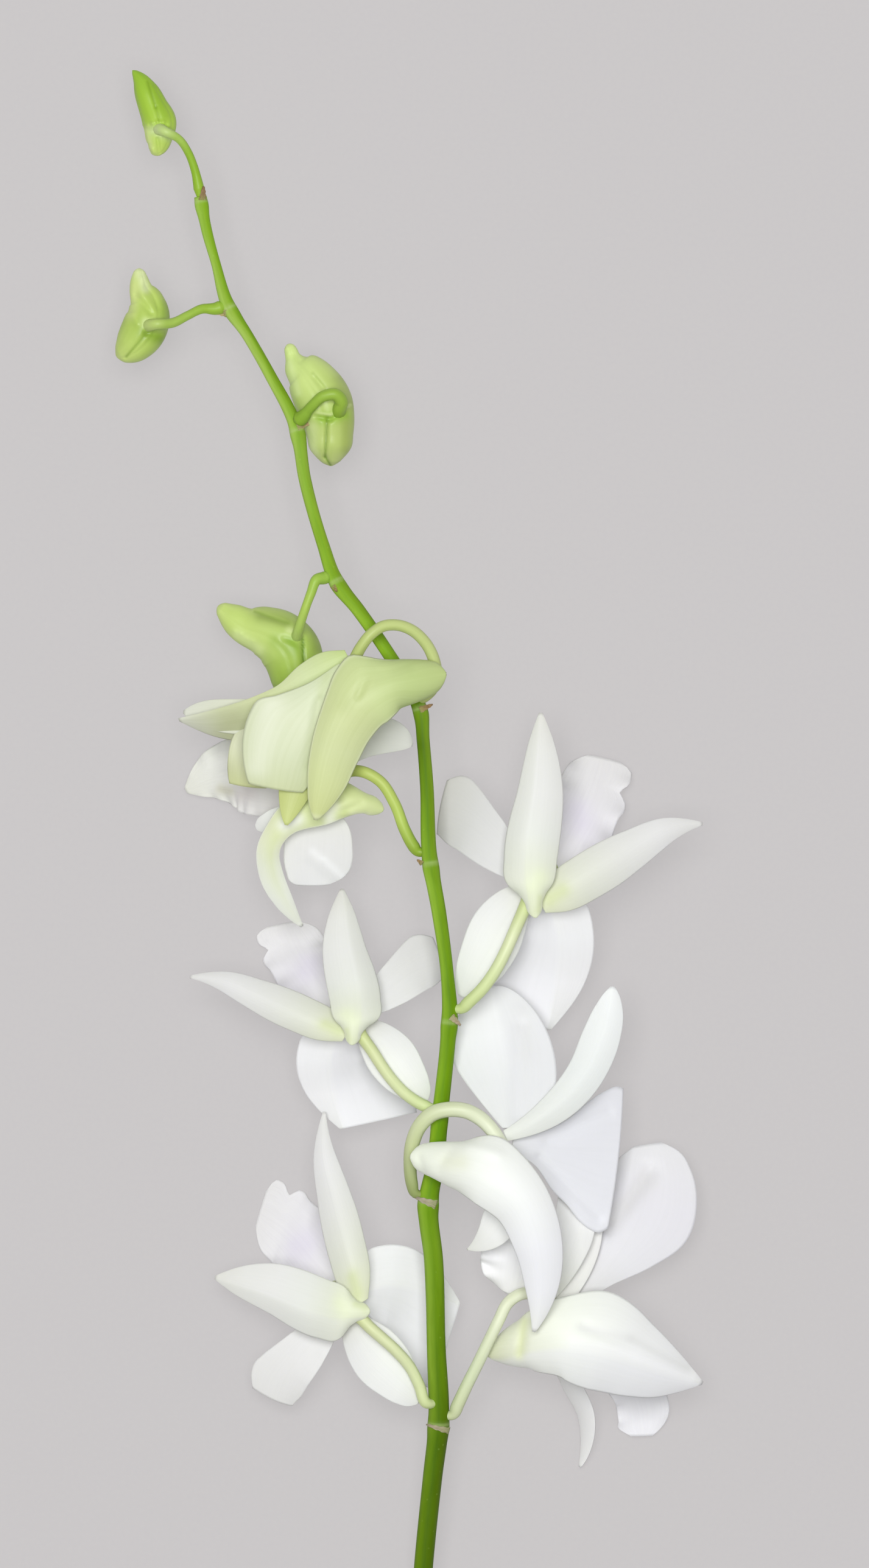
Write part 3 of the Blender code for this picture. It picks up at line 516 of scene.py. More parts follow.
def stand(points, hub, right=(1, 0), up=(0, 1), lean=0.0, depth=1.0):
    """The open flower at another hub: right and up say where its own two axes point, and how long."""
    x, y, z = np.moveaxis(points - OPEN_FLOWER_HUB, -1, 0)
    place = [x * right[0] + y * up[0], x * right[1] + y * up[1], z * depth + y * lean]
    return np.stack(place, -1) + np.array(hub)


for name in ("flower_4", "flower_6"):
    tips = stand(lip[-1], **FLOWERS[name]["stance"])
    print(name, "lip's tip, mm:", tips.mean(0).round(1))

# %% [markdown]
# ## Round bodies
#
# Stem, stalks and buds are round in section, so they share one surface: a circle carried along a path,
# with its own radius at every step. A curve object with a bevel would do for a stalk. A mesh is chosen
# because a bud also has three seams where its sepals meet, and those are grooves in the radius.

# %% Tubes


def tube_points(rows, sides, grooves=0, depth=0.0, turn=0.0):
    """Circles of radius r along a path: path + r * (cos a * level + sin a * face).

    rows holds x, y, z and r. grooves seams cut the radius by a share of depth at even angles.
    """
    path, radius = rows[:, :3], rows[:, 3]
    level, face = frames_along(path)[1:]
    angle = np.linspace(0, 2 * np.pi, sides, endpoint=False)
    section = np.ones(sides)
    if grooves:
        section -= depth * (1 - np.abs(np.sin(grooves * (angle - np.radians(turn)) / 2))) ** 6
    ring = np.cos(angle)[:, None] * level[:, None] + np.sin(angle)[:, None] * face[:, None]
    return path[:, None] + (radius[:, None] * section)[..., None] * ring


ribbed = tube_points(np.array([(0, 0, 0, 2.0), (0, 1, 0, 2.0)]), 12, grooves=3, depth=0.06)[0]
print("radii around a ribbed tube, mm:", np.linalg.norm(ribbed, axis=-1).round(2))

# %% The body of a bud
BUD_LEAST_END = 0.8           # least radius of the round that closes a bud's end, millimetres
BUD_END_STEP = 0.012          # share of the way at which its first and last rings lie


def bud_rows(spine, radii, count):
    """A bud's path and radius, with both ends rounded as quarter circles and rings closer there."""
    rows = smooth_curve(spine, 20 * count, radii)
    steps = np.linalg.norm(np.diff(rows[:, :3], axis=0), axis=1)
    run = np.concatenate([[0], np.cumsum(steps)])
    from_spur = np.clip(run / max(radii[0], BUD_LEAST_END), 0, 1)
    from_tip = np.clip((run[-1] - run) / max(radii[-1], BUD_LEAST_END), 0, 1)
    rows[:, 3] *= np.sqrt(1 - (1 - from_spur) ** 2) * np.sqrt(1 - (1 - from_tip) ** 2)
    turn = np.pi * np.linspace(BUD_END_STEP, 1 - BUD_END_STEP, count)
    places = run[-1] * (1 - np.cos(turn)) / 2
    return np.stack([np.interp(places, run, column) for column in rows.T], 1)


for name, bud in BUDS.items():
    print(name, "radii, mm:", bud_rows(bud["spine"], bud["radii"], 5)[:, 3].round(1))

# %% [markdown]
# ## From a grid to a mesh
#
# A surface on a grid becomes a mesh in one step: its points are the vertices, and each cell is a face.
# The faces are written as whole arrays of corner numbers. A tube's last column joins its first, and its
# ends are closed with a fan to one point, so it is a closed body. A sheet stays open here, and a
# Solidify modifier gives it its thickness and its rim.
#
# Two things are stored with the points: the sheet's own u and v as a UV map, for the veins, and a colour
# called tint, which a painter would lay on by hand. It could be a texture image, but a formula of u and
# v says the same in a line.

# %% The faces of a grid


def grid_faces(rows, columns, wrap):
    """Corner numbers and UV of each cell's face; wrap joins the last column to the first."""
    corner = np.arange(rows * columns).reshape(rows, columns)
    if wrap:
        corner = np.hstack([corner, corner[:, :1]])
    quads = np.stack([corner[:-1, :-1], corner[1:, :-1], corner[1:, 1:], corner[:-1, 1:]], -1)
    u_step, v_step = np.meshgrid(np.arange(rows - 1), np.arange(corner.shape[1] - 1), indexing="ij")
    uv = np.stack([np.stack([(v_step + dv) / (corner.shape[1] - 1), (u_step + du) / (rows - 1)], -1)
                   for du, dv in ((0, 0), (1, 0), (1, 1), (0, 1))], -2)
    return quads, uv


def end_fans(rows, columns):
    """Triangles from the first and the last ring to two middle points, numbered after the grid's."""
    fan = np.arange(columns)
    after = np.roll(fan, -1)
    last_ring, middle = (rows - 1) * columns, rows * columns
    low = np.stack([np.full(columns, middle), after, fan], 1)
    high = np.stack([np.full(columns, middle + 1), fan + last_ring, after + last_ring], 1)
    uv = np.stack([np.tile([0.5, 0.0], (3 * columns, 1)), np.tile([0.5, 1.0], (3 * columns, 1))])
    return low.tolist() + high.tolist(), uv.reshape(-1, 2)


print("faces of a tube of 10 rings and 8 sides:",
      grid_faces(10, 8, True)[0].size // 4, "and", len(end_fans(10, 8)[0]), "at its ends")

# %% The mesh builder


def grid_mesh(name, points, tint, wrap=False, flip=False):
    """A mesh from points[u, v]; wrap makes a closed tube of it, and flip turns its faces round."""
    rows, columns = points.shape[:2]
    quads, uv = grid_faces(rows, columns, wrap)
    if wrap != flip:
        quads, uv = quads[..., ::-1], uv[..., ::-1, :]
    faces, uv = quads.reshape(-1, 4).tolist(), uv.reshape(-1, 2)
    vertices, colours = points.reshape(-1, 3), tint.reshape(-1, 3)
    if wrap:
        fans, fan_uv = end_fans(rows, columns)
        faces, uv = faces + fans, np.vstack([uv, fan_uv])
        vertices = np.vstack([vertices, points[0].mean(0), points[-1].mean(0)])
        colours = np.vstack([colours, tint[0].mean(0), tint[-1].mean(0)])
    mesh = bpy.data.meshes.new(name)
    mesh.from_pydata((vertices * MM + SHIFT).tolist(), [], faces)
    layer = mesh.uv_layers.new(name="UVMap")
    layer.data.foreach_set("uv", uv.ravel())
    painted = mesh.color_attributes.new(name="tint", type="FLOAT_COLOR", domain="POINT")
    painted.data.foreach_set("color", np.hstack([colours, np.ones((len(colours), 1))]).ravel())
    mesh.shade_smooth()
    obj = bpy.data.objects.new(name, mesh)
    bpy.context.scene.collection.objects.link(obj)
    return obj


def thicken(obj, thickness):
    """A live Solidify, in millimetres, with half of the thickness on each side of the surface."""
    solid = obj.modifiers.new("thickness", "SOLIDIFY")
    solid.thickness = thickness * MM
    solid.offset = 0


def dress(obj, node, slot, material):
    """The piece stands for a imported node, rides on the one body and takes a finish."""
    obj.data.materials.append(material)
    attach(obj, "root")
    if node:
        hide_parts(node)
    return obj


print("packed nodes to stand for:", len(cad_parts))

# %% [markdown]
# ## Where the spray is in the frame
#
# The lists above are written in the spray's own millimetres, with their zero in the middle of the
# flowers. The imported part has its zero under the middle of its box. The stem is in both, so the step
# from one to the other is the difference between the middles of its two boxes.

# %% The step from the lists to the frame
STEM_ROWS = smooth_curve(STEM, 700, STEM_RADII)
stem_ring = tube_points(STEM_ROWS, 8).reshape(-1, 3) * MM
stem_low, stem_high = (np.array(corner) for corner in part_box("stem"))
SHIFT = (stem_low + stem_high - stem_ring.min(0) - stem_ring.max(0)) / 2
SHIFT[2] = 0
print("step to the frame, mm:", np.round(SHIFT / MM, 2).tolist())

# %% [markdown]
# ## Colour by formula
#
# A sepal is green at its base and pale in its blade, a bud is lime with a cream spur, and a lip has a
# breath of lilac in its throat. A painter would lay such fields on with a soft brush. Here each brush
# touch is a bell curve around a place in the spray's millimetres. Some touches are painted shade along
# folds and creases, and some are painted highlights on gloss. Colours are written as a display shows
# them, 0 to 255, and turned to light values once, because a shader works with light.

# %% Colours as light


def light(colour):
    """A display colour, 0 to 255, as linear light."""
    c = np.asarray(colour, float) / 255
    return np.where(c <= 0.04045, c / 12.92, ((c + 0.055) / 1.055) ** 2.4)


def mix(colours, over, share):
    """Lay one colour over others: colours * (1 - share) + over * share."""
    return colours + (light(over) - colours) * share[..., None]


print("a white tepal as light:", light((243, 243, 243)).round(3))

# %% Soft strokes and creases


def bell(points, start, end, radius):
    """A soft stroke's strength: exp(-(distance to the line from start to end / radius)^2)."""
    start = np.array(start, float)
    run = np.array(end, float) - start
    from_start = points[..., :2] - start
    share = np.clip(from_start @ run / max(run @ run, 1e-6), 0, 1)
    return np.exp(-((from_start - share[..., None] * run) ** 2).sum(-1) / radius ** 2)


def brush(colours, points, strokes):
    """Soft strokes: each is (start, end, radius, colour, strength), places in millimetres."""
    for start, end, radius, colour, strength in strokes:
        colours = mix(colours, colour, strength * bell(points, start, end, radius))
    return colours


def press(points, strokes, share=1.0):
    """Creases: each stroke (start, end, radius, depth) lowers the surface; a negative depth lifts it."""
    for start, end, radius, depth in strokes:
        points[..., 2] -= depth * share * bell(points, start, end, radius)


reach = bell(np.array([(0, 0), (0, 1), (0, 2)]), (0, 0), (0, 0), 1)
print("a stroke's strength in its middle, and at one and two radii:", reach.round(2))

# %% The tint of a sheet


def colour_along(share, stops):
    """Colours at even steps of a length, read at each share of it."""
    colours = light(stops)
    steps = np.linspace(0, 1, len(colours))
    return np.stack([np.interp(share, steps, channel) for channel in colours.T], -1)


RIM_TIP = 0.7                 # share of the length from which the tip counts as rim
RIM_START, RIM_FADE = 0.86, 0.12    # where the rim's colour begins across a half, and how soon it is full


def sheet_tint(points, u, v, stops, rim=None, stripe=None, half=None, strokes=()):
    """Colours from base to tip, then a midrib stripe, painted shade on one half, a rim and brush strokes.
    """
    colours = np.broadcast_to(colour_along(u, stops)[:, None], points.shape).copy()
    u, v = np.broadcast_arrays(u[:, None], v[None, :])
    if stripe:
        colour, width, strength = stripe
        colours = mix(colours, colour, strength * np.exp(-(v / width) ** 2) * (1 - u ** 2))
    # painted shade: the side of a fold past place across is laid over with a greyer colour
    if half:
        colour, place, width, strength = half
        colours = mix(colours, colour, strength * smooth_step((v - place) / width))
    if rim:
        colour, strength = rim
        edge = np.maximum(np.abs(v), (u - RIM_TIP) / (1 - RIM_TIP))
        colours = mix(colours, colour, strength * smooth_step((edge - RIM_START) / RIM_FADE))
    return brush(colours, points, strokes)


print("a stripe of green over white, as light:",
      sheet_tint(np.zeros((1, 1, 3)), np.zeros(1), np.zeros(1), [(243, 243, 243)] * 2,
                 stripe=((200, 211, 152), 0.3, 0.5)).round(2).ravel())

# %% [markdown]
# ## Living finishes
#
# Petals, stalks and buds share three effects, so each is made once as a node group. Fine veins are a
# noise pulled long in the direction of growth: it is read on the sheet's own u and v, so the veins run
# with the midrib on every sheet, however it is turned. Cells are a very fine noise in space, which
# breaks up the gloss as a real skin does. Mottle is a slow noise that keeps any field from being flat.
#
# The veins could be modelled as ridges, but they are a tenth of a millimetre high. A bump gives the
# same play of light at no cost in faces.

# %% Helpers for nodes


def feed(tree, node, feeds):
    """Give each named input a value, or link it from another node's output."""
    for name, source in feeds.items():
        if isinstance(source, bpy.types.NodeSocket):
            tree.links.new(source, node.inputs[name])
        else:
            node.inputs[name].default_value = source


def add_node(tree, kind, feeds, **settings):
    """A new shader node with its settings, and its inputs fed."""
    node = tree.nodes.new("ShaderNode" + kind)
    for setting, value in settings.items():
        setattr(node, setting, value)
    feed(tree, node, feeds)
    return node


def new_group(name, inputs, outputs):
    """An empty node group: inputs are (name, type, default), outputs are names of numbers."""
    group = bpy.data.node_groups.new(name, "ShaderNodeTree")
    for label, kind, default in inputs:
        socket = group.interface.new_socket(label, in_out="INPUT", socket_type="NodeSocket" + kind)
        if default is not None:
            socket.default_value = default
    for label in outputs:
        group.interface.new_socket(label, in_out="OUTPUT", socket_type="NodeSocketFloat")
    return group, group.nodes.new("NodeGroupInput").outputs, group.nodes.new("NodeGroupOutput")


print("node helpers:", [helper.__name__ for helper in (feed, add_node, new_group)])

# %% [markdown]
# Each of the three effects is a group with named inputs, so a finish can set its own values.

# %% The streaks
STREAK_LEVEL = 0.52           # noise at which a streak is half there


def streak_group():
    """Noise on (across * count, along * stretch), eased between two levels: long fine streaks."""
    group, given, result = new_group(
        "fine_streaks",
        [("Sheet UV", "Vector", None), ("Count", "Float", 26.0), ("Stretch", "Float", 1.3),
         ("Softness", "Float", 0.12)], ["Mask", "Height"])
    scale = add_node(group, "CombineXYZ", {"X": given["Count"], "Y": given["Stretch"]})
    pulled = add_node(group, "VectorMath", {0: given["Sheet UV"], 1: scale.outputs["Vector"]},
                      operation="MULTIPLY")
    noise = add_node(group, "TexNoise", {"Vector": pulled.outputs["Vector"], "Scale": 1, "Detail": 2,
                                         "Roughness": 0.6})
    low, high = (add_node(group, "Math", {0: STREAK_LEVEL, 1: given["Softness"]}, operation=operation)
                 for operation in ("SUBTRACT", "ADD"))
    eased = add_node(group, "MapRange", {"Value": noise.outputs["Fac"]}, interpolation_type="SMOOTHSTEP")
    feed(group, eased, {"From Min": low.outputs["Value"], "From Max": high.outputs["Value"]})
    feed(group, result, {"Mask": eased.outputs["Result"], "Height": noise.outputs["Fac"]})
    return group


FINE_STREAKS = streak_group()
print("made:", FINE_STREAKS.name)

# %% The skin and the specks


def skin_group():
    """Fine cells and slow mottle: two noises on Object coordinates, in cells per metre."""
    group, given, result = new_group(
        "living_skin",
        [("Position", "Vector", None), ("Cells", "Float", 1900.0), ("Mottle", "Float", 90.0)],
        ["Cell Height", "Mottle Mask"])
    for source, target, detail in (("Cells", "Cell Height", 1), ("Mottle", "Mottle Mask", 3)):
        noise = add_node(group, "TexNoise", {"Detail": detail, "Vector": given["Position"],
                                             "Scale": given[source]})
        feed(group, result, {target: noise.outputs["Fac"]})
    return group


def speck_group():
    """Sparse specks: one minus the distance to scattered points, sharpened to small dots."""
    group, given, result = new_group(
        "small_specks",
        [("Position", "Vector", None), ("Scale", "Float", 260.0), ("Size", "Float", 0.16)], ["Mask"])
    cells = add_node(group, "TexVoronoi", {"Vector": given["Position"], "Scale": given["Scale"]})
    dots = add_node(group, "MapRange", {"From Min": 0, "To Min": 1, "To Max": 0,
                                        "Value": cells.outputs["Distance"], "From Max": given["Size"]})
    feed(group, result, {"Mask": dots.outputs["Result"]})
    return group


LIVING_SKIN, SMALL_SPECKS = skin_group(), speck_group()
print("shared effects:", [group.name for group in bpy.data.node_groups])

# %% [markdown]
# ## One finish for each kind of tissue
#
# All of them start from the tint that is stored in the mesh. Veins and mottle shade it a little, cells
# and veins raise the surface, and the mottle varies the roughness, so that the gloss is uneven. A petal
# is thin and waxy: some light enters it and comes out beside, which Subsurface Weight gives. The stem is
# firm and has a harder gloss, and it alone has the pale lenticels, which the specks draw.

# %% The finishes
ROUGHNESS_SPREAD = 0.07       # how far the mottle carries the roughness to either side
STREAK_HEIGHT, CELL_HEIGHT = 0.0003, 0.00008    # metres


def lay_over(tree, colour, over, mask, share, how="MIX"):
    """A display colour laid over another by mask * share."""
    amount = add_node(tree, "Math", {0: mask, 1: share}, operation="MULTIPLY")
    blend = add_node(tree, "Mix", {"Factor": amount.outputs["Value"], "A": colour,
                                   "B": (*light(over), 1)}, data_type="RGBA", blend_type=how)
    return blend.outputs["Result"]


def finish(name, roughness, vein, vein_colour, count, stretch, bump, soft=0.0, coat=0.0,
           specks=None, cells=1900.0, grain=0.1, sheen=0.0, gloss=0.25):
    """Tint, shaded towards vein_colour by streaks, with bump from streaks and cells."""
    made = bpy.data.materials.new(name)
    made.use_nodes = True
    tree = made.node_tree
    place = add_node(tree, "TexCoord", {}).outputs["Object"]
    sheet_uv = add_node(tree, "UVMap", {}, uv_map="UVMap").outputs["UV"]
    tint = add_node(tree, "Attribute", {}, attribute_name="tint").outputs["Color"]
    streaks = add_node(tree, "Group", {}, node_tree=FINE_STREAKS)
    feed(tree, streaks, {"Count": count, "Stretch": stretch, "Sheet UV": sheet_uv})
    skin = add_node(tree, "Group", {}, node_tree=LIVING_SKIN)
    feed(tree, skin, {"Cells": cells, "Position": place})
    mottle = skin.outputs["Mottle Mask"]
    colour = lay_over(tree, tint, vein_colour, streaks.outputs["Mask"], vein, "MULTIPLY")
    colour = lay_over(tree, colour, vein_colour, mottle, 0.5 * vein, "MULTIPLY")
    if specks:
        speck_colour, scale, size, share = specks
        dots = add_node(tree, "Group", {}, node_tree=SMALL_SPECKS)
        feed(tree, dots, {"Scale": scale, "Size": size, "Position": place})
        colour = lay_over(tree, colour, speck_colour, dots.outputs["Mask"], share)
    uneven = add_node(tree, "MapRange", {"Value": mottle, "To Min": roughness - ROUGHNESS_SPREAD,
                                         "To Max": roughness + ROUGHNESS_SPREAD})
    veined = add_node(tree, "Bump", {"Strength": bump, "Distance": STREAK_HEIGHT,
                                     "Height": streaks.outputs["Height"]})
    grained = add_node(tree, "Bump", {"Strength": grain, "Distance": CELL_HEIGHT,
                                      "Height": skin.outputs["Cell Height"],
                                      "Normal": veined.outputs["Normal"]})
    shader = tree.nodes["Principled BSDF"]
    feed(tree, shader, {
        "Base Color": colour, "Roughness": uneven.outputs["Result"], "Normal": grained.outputs["Normal"],
        "Specular IOR Level": gloss, "Coat Weight": coat, "Coat Roughness": 0.25,
        "Sheen Weight": sheen, "Sheen Roughness": 0.6})
    if soft:
        feed(tree, shader, {"Subsurface Weight": soft, "Subsurface Radius": (1.0, 1.0, 0.8),
                            "Subsurface Scale": 0.0015})
    return made


WHITE_TEPAL = finish("white_tepal", 0.5, 0.04, (222, 224, 218), 22, 1.0, 0.1, soft=0.15, sheen=0.35)
CREAM_TEPAL = finish("cream_tepal", 0.45, 0.08, (206, 214, 170), 18, 1.0, 0.12, soft=0.1)
LIP_SKIN = finish("lip", 0.6, 0.06, (220, 214, 224), 24, 1.4, 0.2, soft=0.15, sheen=0.35)
STALK_SKIN = finish("stalk", 0.45, 0.1, (206, 216, 150), 8, 5.0, 0.08, soft=0.05, coat=0.05)
BUD_SKIN = finish("bud", 0.4, 0.15, (200, 214, 140), 7, 1.6, 0.08, soft=0.05, coat=0.12,
                  cells=1300.0, grain=0.3)
STEM_SKIN = finish("stem", 0.52, 0.2, (190, 204, 110), 10, 40.0, 0.08,
                   specks=((176, 206, 104), 420.0, 0.13, 0.2), grain=0.2, gloss=0.1)
BRACT_SKIN = finish("papery_bract", 0.7, 0.4, (170, 140, 104), 10, 1.5, 0.9)
print("finishes:", [made.name for made in bpy.data.materials if made.node_tree.nodes.get("Group")])

# %% [markdown]
# ## The stem
#
# A dendrobium's flower stem is a round green cane that swells a little at each node, where a stalk
# leaves it. It is brightest towards its tip, where it is youngest, and light and shade across it are
# painted into its colour: one side is painted lighter than the other. One green for the whole cane
# would be simpler, but then it would look like a painted rod. So three greens, a painted lit side, the
# crown and a painted shaded side, are listed at eighteen heights and mixed around the stem. The cut
# end is plain.

# %% The stem's greens
STEM_HEIGHTS = [-176, -152, -136, -120, -106, -84, -62, -48, -24, -8, 9, 32, 40, 56, 76, 90, 104, 129]
# painted light and shade: greens of the stem's lit side, its crown and its shaded side, by height
LIT_GREENS = [(102, 134, 16), (108, 142, 28), (140, 172, 54), (138, 172, 56), (139, 176, 60),
              (140, 178, 40), (136, 176, 50), (138, 177, 52), (154, 192, 68), (130, 168, 46),
              (94, 126, 20), (149, 192, 50), (156, 194, 66), (142, 181, 56), (162, 196, 86),
              (168, 201, 90), (174, 204, 102), (158, 196, 80)]
CROWN_GREENS = [(78, 110, 3), (76, 110, 3), (88, 124, 3), (101, 138, 5), (112, 150, 18), (98, 145, 5),
                (108, 149, 6), (96, 138, 3), (116, 155, 20), (91, 133, 3), (82, 116, 3), (130, 172, 34),
                (124, 164, 28), (126, 168, 32), (130, 169, 48), (134, 172, 46), (148, 180, 66),
                (132, 171, 40)]
SHADED_GREENS = [(85, 114, 5), (82, 108, 8), (100, 134, 12), (108, 144, 22), (118, 154, 34),
                 (96, 136, 8), (114, 154, 22), (110, 150, 20), (125, 163, 40), (122, 154, 34),
                 (121, 153, 40), (118, 158, 31), (120, 156, 34), (138, 174, 48), (142, 176, 62),
                 (121, 156, 34), (124, 166, 34), (136, 178, 40)]
print("greens at", len(STEM_HEIGHTS), "heights:", len(LIT_GREENS), len(CROWN_GREENS), len(SHADED_GREENS))

# %% The stem
NODES = [(133.6, 0.35), (108.8, 0.2), (80.5, 0.32), (45.6, 0.2), (16.4, 0.2), (-19.2, 0.2),
         (-55.6, 0.2), (-77, 0.15), (-97, 0.25), (-148.8, 0.2)]
NODE_LENGTH = 2.2             # millimetres; each node is (place, swelling)
THICK_PLACE, THICKENING, THICK_LENGTH = -124, 0.26, 20    # the stout length between the lowest flowers
TURN_SHARE = 0.7              # cosine around the stem at which a side has its full green
RING_SHARE, RING_HALF, RING_LIFT = 0.45, 0.45, 1    # the pale ring just above each node


def stem_tint(points, height):
    """Three greens at each height, mixed around the stem by its cosine; a pale ring at every node."""
    # painted light and shade: the lit side, the crown and the shaded side are mixed by the cosine
    lit, crown, shaded = (
        np.stack([np.interp(height, STEM_HEIGHTS, channel) for channel in light(greens).T], -1)
        for greens in (LIT_GREENS, CROWN_GREENS, SHADED_GREENS))
    angle = np.linspace(0, 2 * np.pi, points.shape[1], endpoint=False)
    across = np.cos(angle)[None, :, None] / TURN_SHARE
    colours = crown[:, None] + (lit - crown)[:, None] * across.clip(0, 1) \
        + (shaded - crown)[:, None] * (-across).clip(0, 1)
    for place, swelling in NODES:
        ring = RING_SHARE * np.exp(-((height - place - RING_LIFT) / RING_HALF) ** 2)
        colours = mix(colours, (186, 204, 140), ring[:, None])
    return colours


swollen = STEM_ROWS.copy()
swollen[:, 3] += THICKENING * np.exp(-((STEM_ROWS[:, 1] - THICK_PLACE) / THICK_LENGTH) ** 4)
for place, swelling in NODES:
    swollen[:, 3] += swelling * np.exp(-((STEM_ROWS[:, 1] - place) / NODE_LENGTH) ** 2)
stem_points = tube_points(swollen, 32)
stem_obj = grid_mesh("spray_stem", stem_points, stem_tint(stem_points, STEM_ROWS[:, 1]), wrap=True)
dress(stem_obj, "stem", "stem", STEM_SKIN)
print("stem, mm thick at the cut end and the tip:", (2 * swollen[[0, -1], 3]).round(1))

# %% [markdown]
# ## The stalks
#
# Each flower hangs on its own stalk, which thickens into the ovary just behind the flower. The stalk is
# the pale green of new growth, greener at its foot and at the ovary. Its foot is carried on into the
# stem and flares there, so that the two look grown together.

# %% The stalks' thickness and colours
STALKS = {
    # name: (half-widths from the foot to the flower, colours from the foot to the flower)
    "bud_1": ([1.25, 1.0, 0.92, 0.92, 0.95, 1.1, 1.5],
              [(150, 186, 56), (141, 181, 45), (146, 184, 56), (170, 200, 96), (206, 222, 160)]),
    "bud_2": ([1.6, 1.15, 1.02, 1.05, 1.15, 1.25, 1.5],
              [(150, 185, 64), (150, 185, 60), (158, 190, 80), (163, 191, 87), (200, 216, 140)]),
    "bud_3": ([1.8, 1.2, 1.2, 1.35, 1.5, 1.6, 1.8],
              [(131, 168, 46), (140, 176, 58), (151, 184, 70), (150, 182, 66), (145, 180, 58)]),
    "bud_4": ([1.5, 1.15, 1.02, 1.05, 1.2, 1.45],
              [(149, 188, 68), (160, 194, 80), (170, 198, 89), (174, 201, 104), (196, 214, 136)]),
    "flower_1": ([1.5, 1.35, 1.3, 1.3, 1.5, 1.9],
                 [(187, 200, 129), (193, 205, 136), (190, 204, 130), (177, 191, 114), (188, 202, 147)]),
    "flower_2": ([1.4, 1.3, 1.3, 1.35, 1.5, 1.3],
                 [(124, 157, 24), (181, 204, 99), (188, 204, 111), (181, 192, 113), (167, 182, 97)]),
    "flower_3": ([1.45, 1.4, 1.4, 1.45, 1.7, 2.4],
                 [(196, 213, 142), (212, 225, 168), (222, 230, 188), (200, 213, 146), (166, 186, 84)]),
    "flower_4": ([1.4, 1.35, 1.35, 1.4, 1.6, 2.2],
                 [(203, 219, 155), (217, 227, 176), (216, 224, 174), (196, 208, 140), (160, 178, 78)]),
    "flower_5": ([1.4, 1.65, 1.8, 1.75, 1.6, 1.65, 1.5],
                 [(129, 145, 72), (200, 209, 162), (218, 225, 193), (238, 243, 223), (224, 230, 206)]),
    "flower_6": ([1.3, 1.3, 1.35, 1.4, 1.7, 1.3],
                 [(208, 222, 159), (214, 225, 170), (218, 227, 180), (218, 226, 180), (217, 224, 178),
                  (210, 218, 164), (176, 194, 96), (214, 222, 184)]),
    "flower_7": ([1.5, 1.4, 1.35, 1.4, 1.5, 1.3],
                 [(201, 210, 163), (216, 226, 190), (229, 235, 207), (227, 231, 205), (200, 206, 168)]),
}
print("stalks listed:", list(STALKS))

# %% The stalks
FLARE_SHARE, FOOT_HALF = 0.09, 0.8    # the share inside the stem, and the half-width there
HEAD_STEP, HEAD_DROP = 0.4, 3         # how far the head goes on past the route, and down
HIDDEN_HEADS = ("flower_3", "flower_4", "flower_6")    # their last point lies beyond the flower


def stalk(name, route, radii, stops):
    """A ribbed tube along the stalk's route, begun inside the stem, its foot and its head flared."""
    route = route[:-1] if name in HIDDEN_HEADS else route
    foot = np.array(route[0], float)
    axis = STEM_ROWS[:, :3]
    root = axis[np.argmin(np.linalg.norm(axis - foot, axis=1))]
    last, before = np.array(route[-1], float), np.array(route[-2])
    head = HEAD_STEP * (2 * last - before) + (1 - HEAD_STEP) * last - [0, 0, HEAD_DROP]
    rows = smooth_curve([tuple(root), *route, tuple(head)], 120)
    along = np.linspace(0, 1, len(rows))
    half = np.interp(along, [0, *np.linspace(FLARE_SHARE, 1, len(radii))], [FOOT_HALF, *radii])
    points = tube_points(np.column_stack([rows, half]), 26, grooves=3, depth=0.06, turn=40)
    colours = np.broadcast_to(colour_along(along, stops)[:, None], points.shape).copy()
    return grid_mesh(name + "_stalk", points, colours, wrap=True)


for name, grown in [*BUDS.items(), *FLOWERS.items()]:
    dress(stalk(name, grown["pedicel"], *STALKS[name]), name + "_pedicel", "pedicel", STALK_SKIN)
print("stalks:", len(STALKS))
